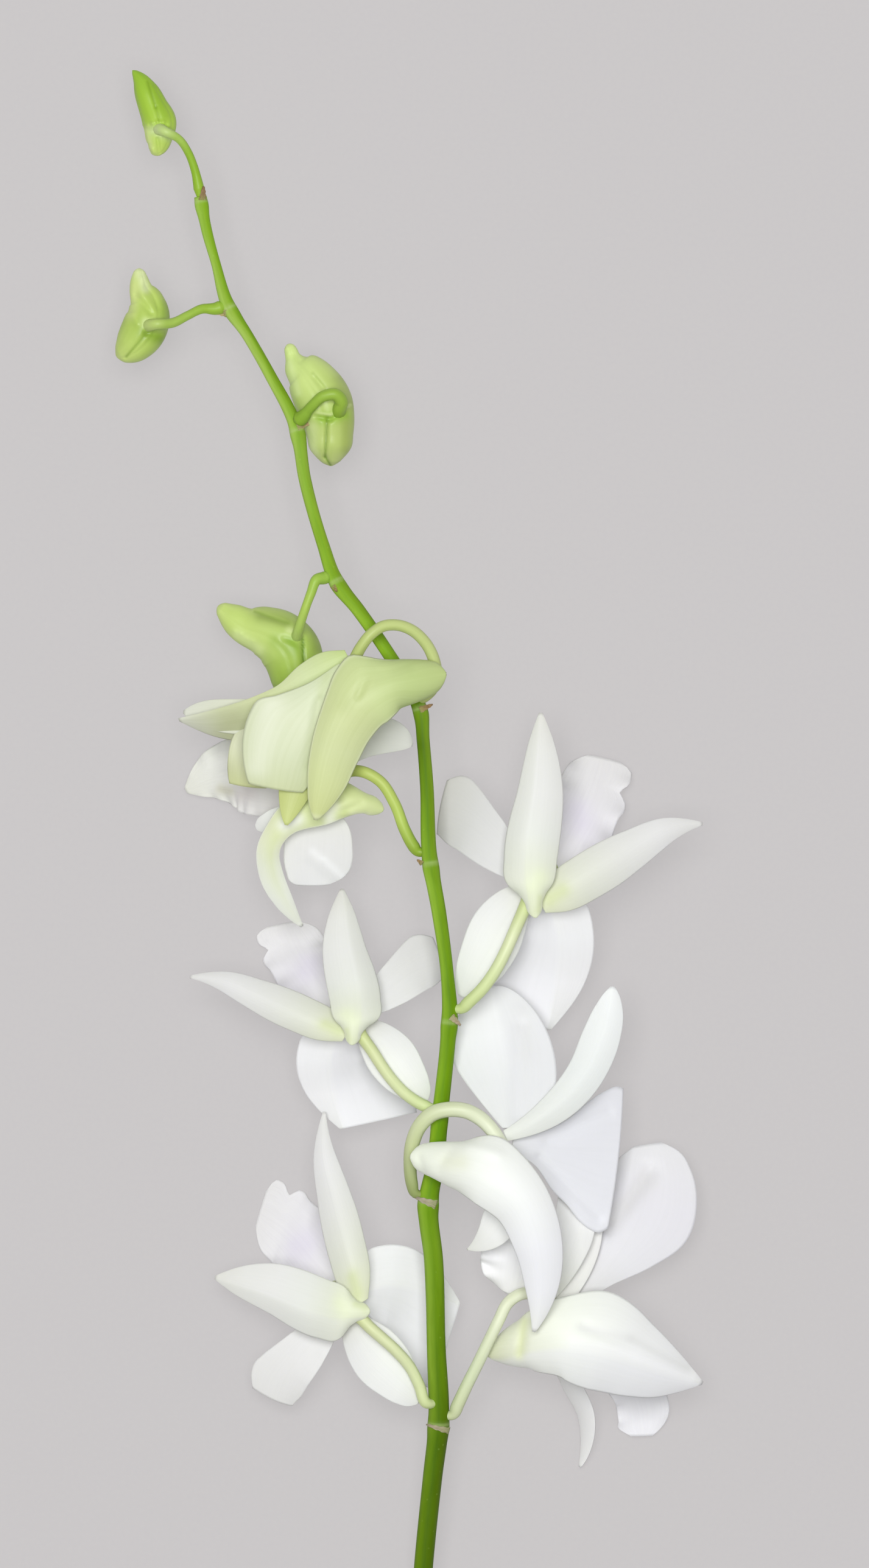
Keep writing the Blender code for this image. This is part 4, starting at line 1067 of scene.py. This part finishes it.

# %% [markdown]
# ## The buds
#
# A bud is three sepals closed over the rest, so three seams run along it, and it swells towards the
# spur. Its surface is glossy and lime green, paler at the spur, and darkest, with painted shade, where
# the stalk joins it; painted shade also darkens its right side, and painted highlights lie on its gloss.

# %% The looks of the buds
BUD_LOOKS = {
    # colours from the spur to the tip; turn is the angle of the seams; strokes and creases are places
    "bud_1": dict(
        stops=[(205, 222, 140), (190, 212, 110), (176, 206, 84), (164, 200, 68), (156, 194, 60),
               (150, 190, 56), (152, 188, 70)], turn=20,
        # painted shade on the right of the seam
        strokes=[((-62, 154), (-65, 160.5), 1.3, (136, 174, 46), 0.5),
                 ((-66.1, 161.9), (-64.2, 155.9), 0.3, (116, 150, 30), 0.5),
                 ((-64.2, 155.9), (-63.4, 152.8), 0.3, (116, 150, 30), 0.4),
                 # painted highlight near the spur
                 ((-66.3, 150.6), (-65.6, 147.2), 1.0, (214, 230, 150), 0.7),
                 ((-64.8, 150.6), (-60.4, 149.2), 1.2, (208, 224, 166), 0.8)],
        creases=[((-66.1, 161.9), (-64.2, 155.9), 0.4, 0.2), ((-64.2, 155.9), (-63.4, 152.8), 0.4, 0.2),
                 ((-67.2, 150.4), (-59.6, 150.4), 0.7, 0.6),
                 ((-66.2, 151.7), (-66.2, 151.7), 0.5, -0.5), ((-65, 152.2), (-65, 152.2), 0.45, -0.5),
                 ((-63.7, 152.5), (-63.7, 152.5), 0.45, -0.45),
                 ((-62.4, 152.4), (-62.4, 152.4), 0.5, -0.5),
                 ((-61, 151.9), (-61, 151.9), 0.5, -0.5), ((-65.2, 146.4), (-64.9, 145.6), 0.6, -0.5),
                 ((-63.8, 148.6), (-63.4, 145.6), 0.5, 0.5)]),
    "bud_2": dict(
        stops=[(226, 236, 184), (212, 228, 150), (188, 210, 112), (176, 202, 96), (180, 204, 104),
               (192, 212, 120), (196, 212, 132)], turn=60,
        # painted highlight on the upper left of the glossy bud
        strokes=[((-69.2, 114.5), (-70, 108.5), 1.5, (214, 228, 148), 0.7),
                 # painted shade on the right side
                 ((-61.6, 110.5), (-61.4, 104), 1.5, (146, 174, 72), 0.7),
                 # painted shade where the stalk joins the bud
                 ((-66.6, 104), (-63.2, 102.8), 1.7, (134, 166, 54), 0.9),
                 ((-65.9, 104), (-71, 98.6), 0.3, (122, 152, 46), 0.6),
                 ((-66.4, 106.2), (-62, 105.8), 1.3, (206, 220, 156), 0.7),
                 ((-67.6, 117.4), (-66.6, 114.2), 1.1, (232, 240, 196), 0.6)],
        creases=[((-65.8, 104.2), (-71.2, 98.3), 0.45, 0.3), ((-66.4, 115), (-63.6, 109.8), 0.9, 0.5),
                 ((-68.9, 112.6), (-65.2, 108.4), 0.8, 0.5), ((-69.6, 108.2), (-68.4, 106), 0.9, -0.5),
                 ((-66.4, 103.8), (-61.4, 103.6), 0.6, 0.5),
                 ((-67.2, 116.5), (-67.4, 112.5), 1.0, -0.4)]),
    "bud_3": dict(
        stops=[(214, 230, 160), (210, 230, 148), (206, 227, 142), (200, 220, 134), (190, 210, 122),
               (184, 202, 116), (184, 202, 116), (188, 202, 128), (184, 196, 130)], turn=100,
        # painted shade on the right side
        strokes=[((-21.8, 93), (-19.2, 87.6), 1.7, (166, 184, 104), 0.7),
                 # painted shade where the stalk joins the bud
                 ((-26, 84), (-20.5, 84.8), 1.5, (150, 186, 64), 0.9),
                 ((-24.7, 84.2), (-25.2, 75.4), 0.3, (108, 138, 42), 0.7),
                 ((-25.2, 75.4), (-24, 73.6), 0.3, (120, 148, 60), 0.8),
                 # painted light on the left side, then painted shade on the right side
                 ((-28.4, 82), (-28, 76.4), 1.6, (216, 228, 166), 0.8),
                 ((-20.4, 83), (-20.6, 77), 1.2, (162, 180, 92), 0.7),
                 # painted highlight along the left edge
                 ((-33.4, 97), (-31.6, 90), 0.9, (222, 238, 170), 0.6),
                 ((-27, 85.5), (-24, 85), 0.3, (206, 222, 150), 0.9),
                 ((-24, 85), (-19.3, 87.4), 0.3, (206, 222, 150), 0.9),
                 ((-28, 94.6), (-25, 91.4), 0.4, (168, 190, 104), 0.6)],
        creases=[((-24.7, 84.2), (-25.2, 75.4), 0.45, 0.5), ((-25.2, 75.4), (-23.9, 73.4), 0.5, 0.5),
                 ((-30.8, 97.4), (-26, 91.4), 0.7, 0.4), ((-27.4, 84.6), (-24, 84), 0.6, 0.6),
                 ((-24, 84), (-19.4, 86.4), 0.6, 0.6), ((-18.4, 88.2), (-20.4, 87.4), 0.6, 0.6),
                 ((-27.6, 93.6), (-24.6, 90.2), 0.4, 0.3)]),
    "bud_4": dict(
        stops=[(204, 218, 144), (200, 220, 130), (196, 217, 124), (192, 213, 122), (182, 206, 112),
               (162, 190, 84), (158, 188, 80), (166, 192, 86), (166, 192, 90)], turn=100,
        strokes=[((-40, 38.6), (-34, 37.4), 1.7, (158, 178, 96), 0.9),
                 # painted highlight on the lower left of the body
                 ((-45.5, 34.4), (-40.5, 31), 1.5, (214, 231, 158), 0.8),
                 # painted shade where the stalk joins the bud
                 ((-33.4, 33.2), (-32, 31.4), 1.2, (134, 172, 50), 0.7),
                 ((-36.6, 33), (-31.6, 29.8), 1.6, (140, 172, 62), 0.5),
                 ((-30.4, 33.6), (-30.1, 26.4), 0.35, (96, 132, 30), 0.95),
                 # painted shade on the right side, then a painted highlight on the collar
                 ((-28, 35.5), (-27.3, 31.5), 1.3, (148, 171, 76), 0.8),
                 ((-33.4, 35.4), (-31.6, 34.8), 0.9, (212, 226, 160), 0.9),
                 ((-41.5, 39.8), (-33.6, 37), 0.35, (136, 162, 70), 0.6)],
        creases=[((-30.4, 33.8), (-30.1, 26), 0.5, 0.7), ((-41.5, 39.8), (-34.6, 37.2), 0.6, 0.5),
                 ((-46.2, 35.2), (-46.2, 35.2), 0.5, -0.3), ((-44.8, 34.6), (-44.8, 34.6), 0.5, -0.35),
                 ((-43.4, 33.6), (-43.4, 33.6), 0.5, -0.3), ((-42, 33), (-42, 33), 0.6, -0.3),
                 ((-34.6, 33.6), (-30.8, 32.4), 0.7, 0.4)]),
}
for name, look in BUD_LOOKS.items():
    print(name, "strokes and creases:", len(look["strokes"]), len(look["creases"]))

# %% The buds


def bud_mesh(name, bud, look):
    """A grooved tube with rounded ends, pressed in along its creases, coloured from spur to tip."""
    rows = bud_rows(bud["spine"], bud["radii"], 150)
    points = tube_points(rows, 96, grooves=3, depth=0.04, turn=look["turn"])
    upper = np.clip((points[..., 2] - rows[:, None, 2]) / rows[:, None, 3].clip(0.5), 0, 1)
    press(points, look["creases"], upper)
    along = np.linspace(0, 1, len(rows))
    colours = np.broadcast_to(colour_along(along, look["stops"])[:, None], points.shape).copy()
    return grid_mesh(name + "_closed_sepals", points, brush(colours, points, look["strokes"]), wrap=True)


for name, bud in BUDS.items():
    dress(bud_mesh(name, bud, BUD_LOOKS[name]), name, "bud", BUD_SKIN)
print("buds:", len(BUDS))

# %% [markdown]
# ## The flowers
#
# A dendrobium flower has three sepals and two petals, all alike in texture, and a lip, which is a petal
# of its own shape with a ruffled edge. The two side sepals grow together into a closed spur behind the
# flower.
#
# Each is one sheet on its formula. A cloth simulation could let them droop, but a petal is stiff with
# water and holds the shape that it grew into, so the shape is given directly. Solidify gives the sheet
# its thickness, with half on each side.

# %% The looks of the open flower
LOOKS = {
    # colours from the base to the tip; half is painted shade on one side; strokes are places on the open
    # flower
    "right_sepal": dict(
        stops=[(222, 227, 196), (219, 222, 208), (222, 223, 218), (225, 225, 224), (222, 222, 219)],
        strokes=[((26.4, -26.4), (29.4, -24.4), 1.8, (200, 211, 152), 0.6)]),
    "left_sepal": dict(
        stops=[(232, 240, 204), (226, 231, 210), (231, 234, 226), (233, 234, 230), (231, 232, 227),
               (226, 226, 218)],
        # painted shade on one side of the sepal's ridge
        half=((222, 224, 216), 0.2, 0.12, 0.5),
        # the first stroke is partly the spur's own cream green and partly a painted highlight
        strokes=[((22.8, -23.5), (24, -21.5), 2.2, (230, 240, 200), 0.6),
                 ((24.2, -26), (23.8, -29), 0.8, (212, 224, 166), 0.5)]),
    "dorsal_sepal": dict(
        stops=[(214, 214, 208), (228, 229, 227), (234, 236, 232), (236, 238, 234), (226, 227, 224)]),
    "left_petal": dict(stops=[(224, 224, 224), (222, 222, 222), (214, 214, 213), (206, 205, 201)]),
    "right_petal": dict(
        stops=[(252, 252, 252), (248, 249, 250), (244, 244, 245), (226, 227, 225)],
        # painted shade on one half of the petal, which is folded along its midrib
        half=((242, 242, 246), 0.06, -0.12, 0.8)),
    "lip": dict(
        stops=[(250, 252, 246), (248, 247, 249), (240, 238, 244), (230, 229, 231), (224, 223, 222)],
        strokes=[((33, -6.3), (34, -9), 3.2, (228, 222, 240), 0.5)]),
}
print("looks:", list(LOOKS))

# %% The looks of single sheets
SPECIAL_LOOKS = {
    "flower_1_right_sepal": dict(
        stops=[(188, 204, 136), (190, 207, 140), (201, 215, 154), (204, 214, 158), (208, 217, 165),
               (209, 218, 160), (206, 214, 150)], rim=((232, 238, 206), 0.5),
        strokes=[((-14.4, 22.6), (-20.4, 17.6), 1.8, (188, 200, 138), 0.5)]),
    "flower_1_right_petal": dict(
        stops=[(200, 211, 168), (212, 221, 188), (216, 223, 192), (210, 218, 184), (204, 212, 170)],
        strokes=[((-37, 18), (-40.5, 4), 3, (232, 237, 214), 0.7),
                 ((-26, 19), (-28.5, 4), 1.3, (200, 210, 166), 0.5),
                 ((-24.4, 24.5), (-25.6, 21), 1.4, (196, 208, 158), 0.6)]),
    "flower_1_dorsal_sepal": dict(
        stops=[(194, 211, 142), (208, 220, 170), (206, 214, 166), (200, 206, 168), (214, 216, 202)],
        # painted shade on the lower part of the sepal, below its ridge
        strokes=[((-48, 12.5), (-46, 14.5), 2.5, (190, 195, 155), 0.7)]),
    "flower_1_left_petal": dict(stops=[(214, 226, 176), (220, 224, 200), (216, 218, 206)]),
    "flower_1_left_sepal": dict(stops=[(188, 196, 128), (186, 194, 132), (198, 208, 134)]),
    "flower_1_lip": dict(
        stops=[(214, 218, 180), (214, 217, 188), (218, 222, 194), (216, 220, 190), (198, 204, 152)]),
    "flower_2_right_sepal": dict(
        stops=[(204, 216, 150), (206, 219, 150), (216, 228, 170), (222, 228, 190), (234, 239, 220),
               (236, 240, 228), (232, 236, 222)],
        stripe=((212, 223, 164), 0.45, 0.7), rim=((246, 247, 242), 0.5),
        # painted highlights on the glossy sepal and its base
        strokes=[((-24.4, -4.6), (-24, -8.2), 1.6, (246, 249, 234), 0.7),
                 ((-31.4, -8), (-34.6, -9.4), 1.6, (248, 250, 246), 0.7),
                 ((-24.5, -2), (-23, -5), 1.3, (240, 244, 218), 0.6),
                 ((-19, -6.5), (-15, -7), 0.8, (232, 240, 190), 0.6)]),
    "flower_2_right_petal": dict(
        stops=[(228, 229, 222), (232, 232, 230), (236, 237, 236)],
        # a painted highlight and painted shade on the two sides of a ridge
        strokes=[((-28, -15.5), (-21, -21.5), 1.0, (246, 247, 247), 0.7),
                 ((-29, -17.6), (-22.4, -23), 1.0, (226, 227, 226), 0.6)]),
    "flower_2_left_petal": dict(stops=[(216, 218, 210), (218, 219, 213)]),
    "flower_2_lip": dict(
        stops=[(240, 240, 230), (230, 228, 224), (232, 231, 228), (230, 231, 224), (220, 221, 210)],
        strokes=[((-43, -2), (-44.5, -2.5), 2.2, (222, 214, 212), 0.6),
                 # painted shade along a fold
                 ((-49.6, -1.2), (-47.5, -1.6), 1.3, (200, 198, 176), 0.7)]),
    "flower_5_right_sepal": dict(
        stops=[(235, 241, 221), (238, 242, 230), (243, 246, 240), (243, 245, 243), (243, 244, 247),
               (244, 245, 248), (243, 245, 240)],
        strokes=[((3, -86.5), (6, -86.5), 2.2, (226, 230, 206), 0.7)]),
    "flower_5_dorsal_sepal": dict(stops=[(224, 227, 219), (231, 235, 232), (244, 247, 246)]),
    "flower_5_left_petal": dict(
        stops=[(228, 230, 229), (232, 234, 234), (242, 243, 245), (236, 237, 238)],
        # painted shade on one half of the petal and along its crease
        half=((228, 229, 231), 0.1, -0.3, 0.7),
        strokes=[((20, -52), (21.5, -62), 2.4, (224, 224, 225), 0.5)]),
    "flower_5_right_petal": dict(stops=[(228, 229, 232), (230, 231, 236), (230, 231, 236)]),
    "flower_5_left_sepal": dict(stops=[(240, 241, 238), (240, 241, 239), (236, 237, 230)]),
    "flower_5_lip": dict(stops=[(252, 252, 252), (252, 252, 254), (250, 250, 252), (240, 240, 238)]),
    "flower_7_right_sepal": dict(
        stops=[(208, 212, 180), (236, 240, 220), (243, 247, 236), (240, 242, 239), (238, 239, 239),
               (233, 233, 231)],
        # painted shade on the lower half of the sepal
        half=((238, 239, 243), -0.1, -0.2, 0.5),
        strokes=[((20.9, -123.9), (19.6, -131.6), 1.2, (222, 230, 176), 0.7),
                 # painted shade along the fold
                 ((34, -125), (45, -127.8), 1.1, (228, 229, 227), 0.6),
                 ((45, -127.8), (58, -135), 1.1, (222, 223, 221), 0.6),
                 # painted highlights on the band below the fold
                 ((32, -129), (46, -131.6), 1.8, (247, 248, 247), 0.6),
                 ((46, -131.6), (59, -137.6), 1.4, (246, 247, 248), 0.6)]),
    "flower_7_right_petal": dict(
        stops=[(212, 212, 210), (226, 226, 229), (227, 226, 231), (229, 229, 230)],
        # painted shade along the crease and beside it
        strokes=[((49, -92), (41, -101), 2.4, (216, 215, 214), 0.6),
                 ((38, -96), (36, -106), 1.6, (214, 213, 211), 0.6)]),
    "flower_7_left_sepal": dict(stops=[(234, 234, 232), (240, 240, 240), (236, 236, 234)]),
    "flower_7_lip": dict(stops=[(240, 240, 240), (242, 242, 244), (244, 244, 247), (240, 240, 243)]),
    "flower_7_left_petal": dict(stops=[(226, 228, 218), (232, 233, 230), (240, 240, 240)]),
    "flower_7_dorsal_sepal": dict(stops=[(236, 237, 230), (242, 242, 240)]),
    "flower_6_left_petal": dict(stops=[(240, 240, 238), (238, 238, 236), (232, 232, 229)]),
    "flower_4_left_petal": dict(stops=[(236, 236, 236), (232, 232, 231), (222, 222, 220)]),
}
print("sheets with a look of their own:", len(SPECIAL_LOOKS))

# %% The creases
CREASES = {
    "flower_7_right_sepal": [((20.9, -123.9), (19.8, -131), 1.2, 0.8),
                             ((34, -124.6), (59, -135.8), 1.3, 0.5)],
    "flower_5_right_sepal": [((-3.4, -85.6), (-2.4, -89), 0.9, 0.5), ((8, -83), (14.5, -84.6), 1.2, -0.6),
                             ((4, -83.6), (1, -88), 1.2, 0.5)],
    "flower_1_right_sepal": [((-13, 30), (-17.5, 20), 0.9, 0.5), ((-6, 27), (-12, 25), 1.6, 0.5)],
    "flower_1_right_petal": [((-26.5, 19), (-29, 4), 1.2, 0.4)],
    "flower_2_right_sepal": [((-22, -3.5), (-25.5, -1.6), 0.9, 0.6), ((-17, -4.4), (-21, -6), 0.8, 0.4)],
    "flower_2_right_petal": [((-25.5, -17.7), (-21, -22.4), 0.8, -0.25)],
    "flower_7_right_petal": [((50, -90), (40, -103), 2.0, 0.9)],
    "flower_5_right_petal": [((24, -86), (38, -100), 1.2, 0.6), ((26, -82), (40, -76), 1.5, 0.5)],
    "flower_5_left_petal": [((19, -76), (20, -56), 2.2, 0.8)],
}
print("creased sheets:", len(CREASES))

# %% The sheets
ALONG, ACROSS = 72, 37
U = np.linspace(0, 1, ALONG) ** 1.3    # closer rows at the base, where a spur's nose is rounded
V = np.linspace(-1, 1, ACROSS)
SHEET_THICKNESS = 0.42        # millimetres
TABLE_CLEARANCE = 0.4
TABLE_BEND = 2.0              # how softly a petal's rim bends on the table, millimetres
SLOTS = {"lip": ("lip", LIP_SKIN)}      # all other parts are white tepals


def sheet_object(flower_name, part, sheet, stance):
    """The sheet on the grid, creased, tinted and thickened; what would sink into the table bends on it.

    The height over the table becomes (rise + sqrt(rise^2 + bend^2)) / 2, which is never below zero.
    """
    name = flower_name + "_" + part
    points = sheet_points(sheet, U, V)
    look = SPECIAL_LOOKS.get(name, LOOKS[part])
    press(points, CREASES.get("open_" + part if sheet in OPEN_FLOWER.values() else name, []))
    colours = sheet_tint(points, U, V, **look)
    if stance:
        points = stand(points, **stance)
    rise = points[..., 2] - TABLE_CLEARANCE
    points[..., 2] = TABLE_CLEARANCE + (rise + np.sqrt(rise ** 2 + TABLE_BEND ** 2)) / 2
    mirrored = bool(stance) and np.cross(stance["right"], stance["up"]) < 0
    obj = grid_mesh(name + "_sheet", points, colours, flip=mirrored)
    thicken(obj, SHEET_THICKNESS)
    if flower_name == "flower_1":
        return dress(obj, name, "cream_tepal", CREAM_TEPAL)
    return dress(obj, name, *SLOTS.get(part, ("white_tepal", WHITE_TEPAL)))


for flower_name, flower in FLOWERS.items():
    for part, sheet in flower["tepals"].items():
        sheet_object(flower_name, part, sheet, flower["stance"])
print("sheets:", sum(len(flower["tepals"]) for flower in FLOWERS.values()))

# %% [markdown]
# ## Papery bracts
#
# At every node a small dry scale is left below the stalk, tan and torn at its tip. It is a short
# pointed sheet that lies on the stem's round back: its two sides drop with the square of the distance
# from its middle line, as the round of the stem does.

# %% The bracts
BRACTS = {
    # name: (middle of its base, tip, half-width, colour)
    "bud_1": ((-53.5, 134.6), (-53.2, 137.8), 0.85, (164, 132, 100)),
    "bud_2": ((-48, 108.5), (-51.2, 108.8), 0.8, (208, 186, 146)),
    "bud_3": ((-31.6, 82.2), (-27.3, 83.9), 0.9, (198, 174, 134)),
    "bud_4": ((-23.4, 45.6), (-22.4, 44.2), 0.7, (186, 166, 110)),
    "flower_1": ((-3.4, 17), (-0.4, 18.3), 0.8, (184, 150, 110)),
    "flower_2": ((-2.8, -18.3), (-4, -17.4), 0.6, (190, 160, 116)),
    "flower_3": ((3.8, -53.4), (6, -55.5), 0.8, (206, 190, 164)),
    "flower_5": ((0.4, -96.9), (-4.4, -95.2), 1.0, (196, 188, 168)),
    "flower_7": ((3.4, -149.5), (-1.9, -148.0), 0.75, (204, 194, 168)),
}
BRACT_ROWS, BRACT_COLUMNS = 22, 15
BRACT_THICKNESS, STEM_CLEARANCE = 0.15, 0.25    # millimetres
TORN_SHARE, TORN_PITCH = 0.12, 21     # how deep the tears in the rim are, and how close
NARROWING, TIP_LIFT = 0.94, 0.5       # towards the tip
WRAP = 1.1                            # of the stem's radius: how far down a scale's sides reach


def bract_points(base, tip, half, number):
    """A pointed sheet: width * (1 - s)^0.6, torn by a sine; height from the round of the stem below."""
    s = np.linspace(0, 1, BRACT_ROWS)[:, None]
    w = np.linspace(-1, 1, BRACT_COLUMNS)[None, :]
    base, run = np.array(base, float), np.array(tip, float) - np.array(base, float)
    across = np.array([-run[1], run[0]]) / np.linalg.norm(run)
    torn = 1 + TORN_SHARE * np.sin(TORN_PITCH * s + number) * np.abs(w)
    width = half * (1 - NARROWING * s) ** 0.6 * w * torn
    flat = base + s[..., None] * run + width[..., None] * across
    nearest = np.abs(flat[..., 1, None] - STEM_ROWS[:, 1]).argmin(-1)
    x, z, radius = (STEM_ROWS[nearest, k] for k in (0, 2, 3))
    drop = np.minimum((flat[..., 0] - x) ** 2 / (2 * radius), WRAP * radius)
    height = z + radius + STEM_CLEARANCE - drop + TIP_LIFT * s ** 2
    return np.dstack([flat, height])


for number, (name, (base, tip, half, colour)) in enumerate(BRACTS.items()):
    points = bract_points(base, tip, half, number)
    colours = np.broadcast_to(light(colour), points.shape).copy()
    fade = np.broadcast_to(np.linspace(1, 0, len(points))[:, None] ** 2, points.shape[:2])
    colours = mix(colours, (150, 172, 92), 0.6 * fade)
    bract = grid_mesh(name + "_bract", points, colours)
    thicken(bract, BRACT_THICKNESS)
    dress(bract, None, "stem", BRACT_SKIN)
print("bracts:", len(BRACTS))

# %% [markdown]
# ## The table
#
# The spray lies on a plain pale table. Its colour is a warm light grey, with a trace of grain so that
# the shadow falls on a real surface and not on a void. To the camera the table is partly lit from
# within, as a light table is, which keeps the shadow but makes it faint.

# %% The table
BRIGHTENED = 0.75             # share of the table's own light in what the camera sees
TABLE_HALF = 3.0              # metres
floor_mesh = bpy.data.meshes.new("table_top")
corners = [(x * TABLE_HALF, y * TABLE_HALF, 0) for x, y in ((-1, -1), (1, -1), (1, 1), (-1, 1))]
floor_mesh.from_pydata(corners, [], [(0, 1, 2, 3)])
floor = bpy.data.objects.new("table_top", floor_mesh)
bpy.context.scene.collection.objects.link(floor)
paper = bpy.data.materials.new("pale_table")
paper.use_nodes = True
tree = paper.node_tree
place = add_node(tree, "TexCoord", {})
grain = add_node(tree, "TexNoise", {"Scale": 900, "Vector": place.outputs["Object"]})
ramp = add_node(tree, "Mix", {"Factor": grain.outputs["Fac"]}, data_type="RGBA")
feed(tree, ramp, {"A": (*light((200, 197, 198)), 1), "B": (*light((203, 200, 200)), 1)})
shader = tree.nodes["Principled BSDF"]
feed(tree, shader, {"Base Color": ramp.outputs["Result"], "Roughness": 0.9, "Specular IOR Level": 0.1})
glow = add_node(tree, "Emission", {"Color": ramp.outputs["Result"]})
path = add_node(tree, "LightPath", {})
share = add_node(tree, "Math", {0: path.outputs["Is Camera Ray"], 1: BRIGHTENED}, operation="MULTIPLY")
blend = add_node(tree, "MixShader", {"Fac": share.outputs["Value"], 1: shader.outputs["BSDF"],
                                     2: glow.outputs["Emission"]})
feed(tree, tree.nodes["Material Output"], {"Surface": blend.outputs["Shader"]})
floor.data.materials.append(paper)
print("table, metres across:", 2 * TABLE_HALF)

# %% [markdown]
# ## Light and camera
#
# White petals show their form only in soft greys, so the light is broad: a bright surround on every
# side, and one large soft lamp above that leans to the upper left. Their sum is set so that a level
# white card would read as its own white, and nothing clips.
#
# The camera looks straight down from two metres through a long lens, so that the spray is drawn almost
# without perspective, as in a botanical plate.

# %% The light
LAMP_DISTANCE, LAMP_SIZE = 1.5, 0.7    # metres
LAMP_LEVEL = 0.86             # share of the light on a level card
lamp = bpy.data.lights.new("soft_lamp", "AREA")
lamp.shape = "SQUARE"
lamp.size = LAMP_SIZE
lamp.energy = LAMP_LEVEL * (np.pi * LAMP_DISTANCE) ** 2
lamp_obj = bpy.data.objects.new("soft_lamp", lamp)
aim = np.array([-0.07, 0.1, 1.5])    # from the middle of the flowers towards the lamp
aim = aim / np.linalg.norm(aim)
lamp_obj.location = tuple(aim * LAMP_DISTANCE + SHIFT)
lamp_obj.rotation_euler = (float(-np.arcsin(aim[1])), float(np.arctan2(aim[0], aim[2])), 0)
bpy.context.scene.collection.objects.link(lamp_obj)
print("lamp power, W:", round(lamp.energy, 2))

# %% The surround
SURROUND_LEVEL = 0.3
world = bpy.data.worlds.new("surround")
world.use_nodes = True
world.node_tree.nodes["Background"].inputs["Color"].default_value = (1, 1, 1, 1)
world.node_tree.nodes["Background"].inputs["Strength"].default_value = SURROUND_LEVEL
bpy.context.scene.world = world
bpy.context.scene.view_settings.view_transform = "Standard"
print("surround level:", SURROUND_LEVEL, "and lamp level on a level card:", LAMP_LEVEL)

# %% The camera
CAMERA_HEIGHT = 2.0323
camera = bpy.data.cameras.new("overhead")
camera.lens = 200
camera.sensor_width = 36
camera.clip_end = 20
camera_obj = bpy.data.objects.new("overhead", camera)
camera_obj.location = (SHIFT[0], SHIFT[1], CAMERA_HEIGHT)
bpy.context.scene.collection.objects.link(camera_obj)
bpy.context.scene.camera = camera_obj
print("camera height, m:", CAMERA_HEIGHT, "lens, mm:", camera.lens)

# %% [markdown]
# ## The last update
#
# The dressed spray should fill the same box as its solids. At the end the scene is brought up to date.

# %% Finish
bpy.context.view_layer.update()
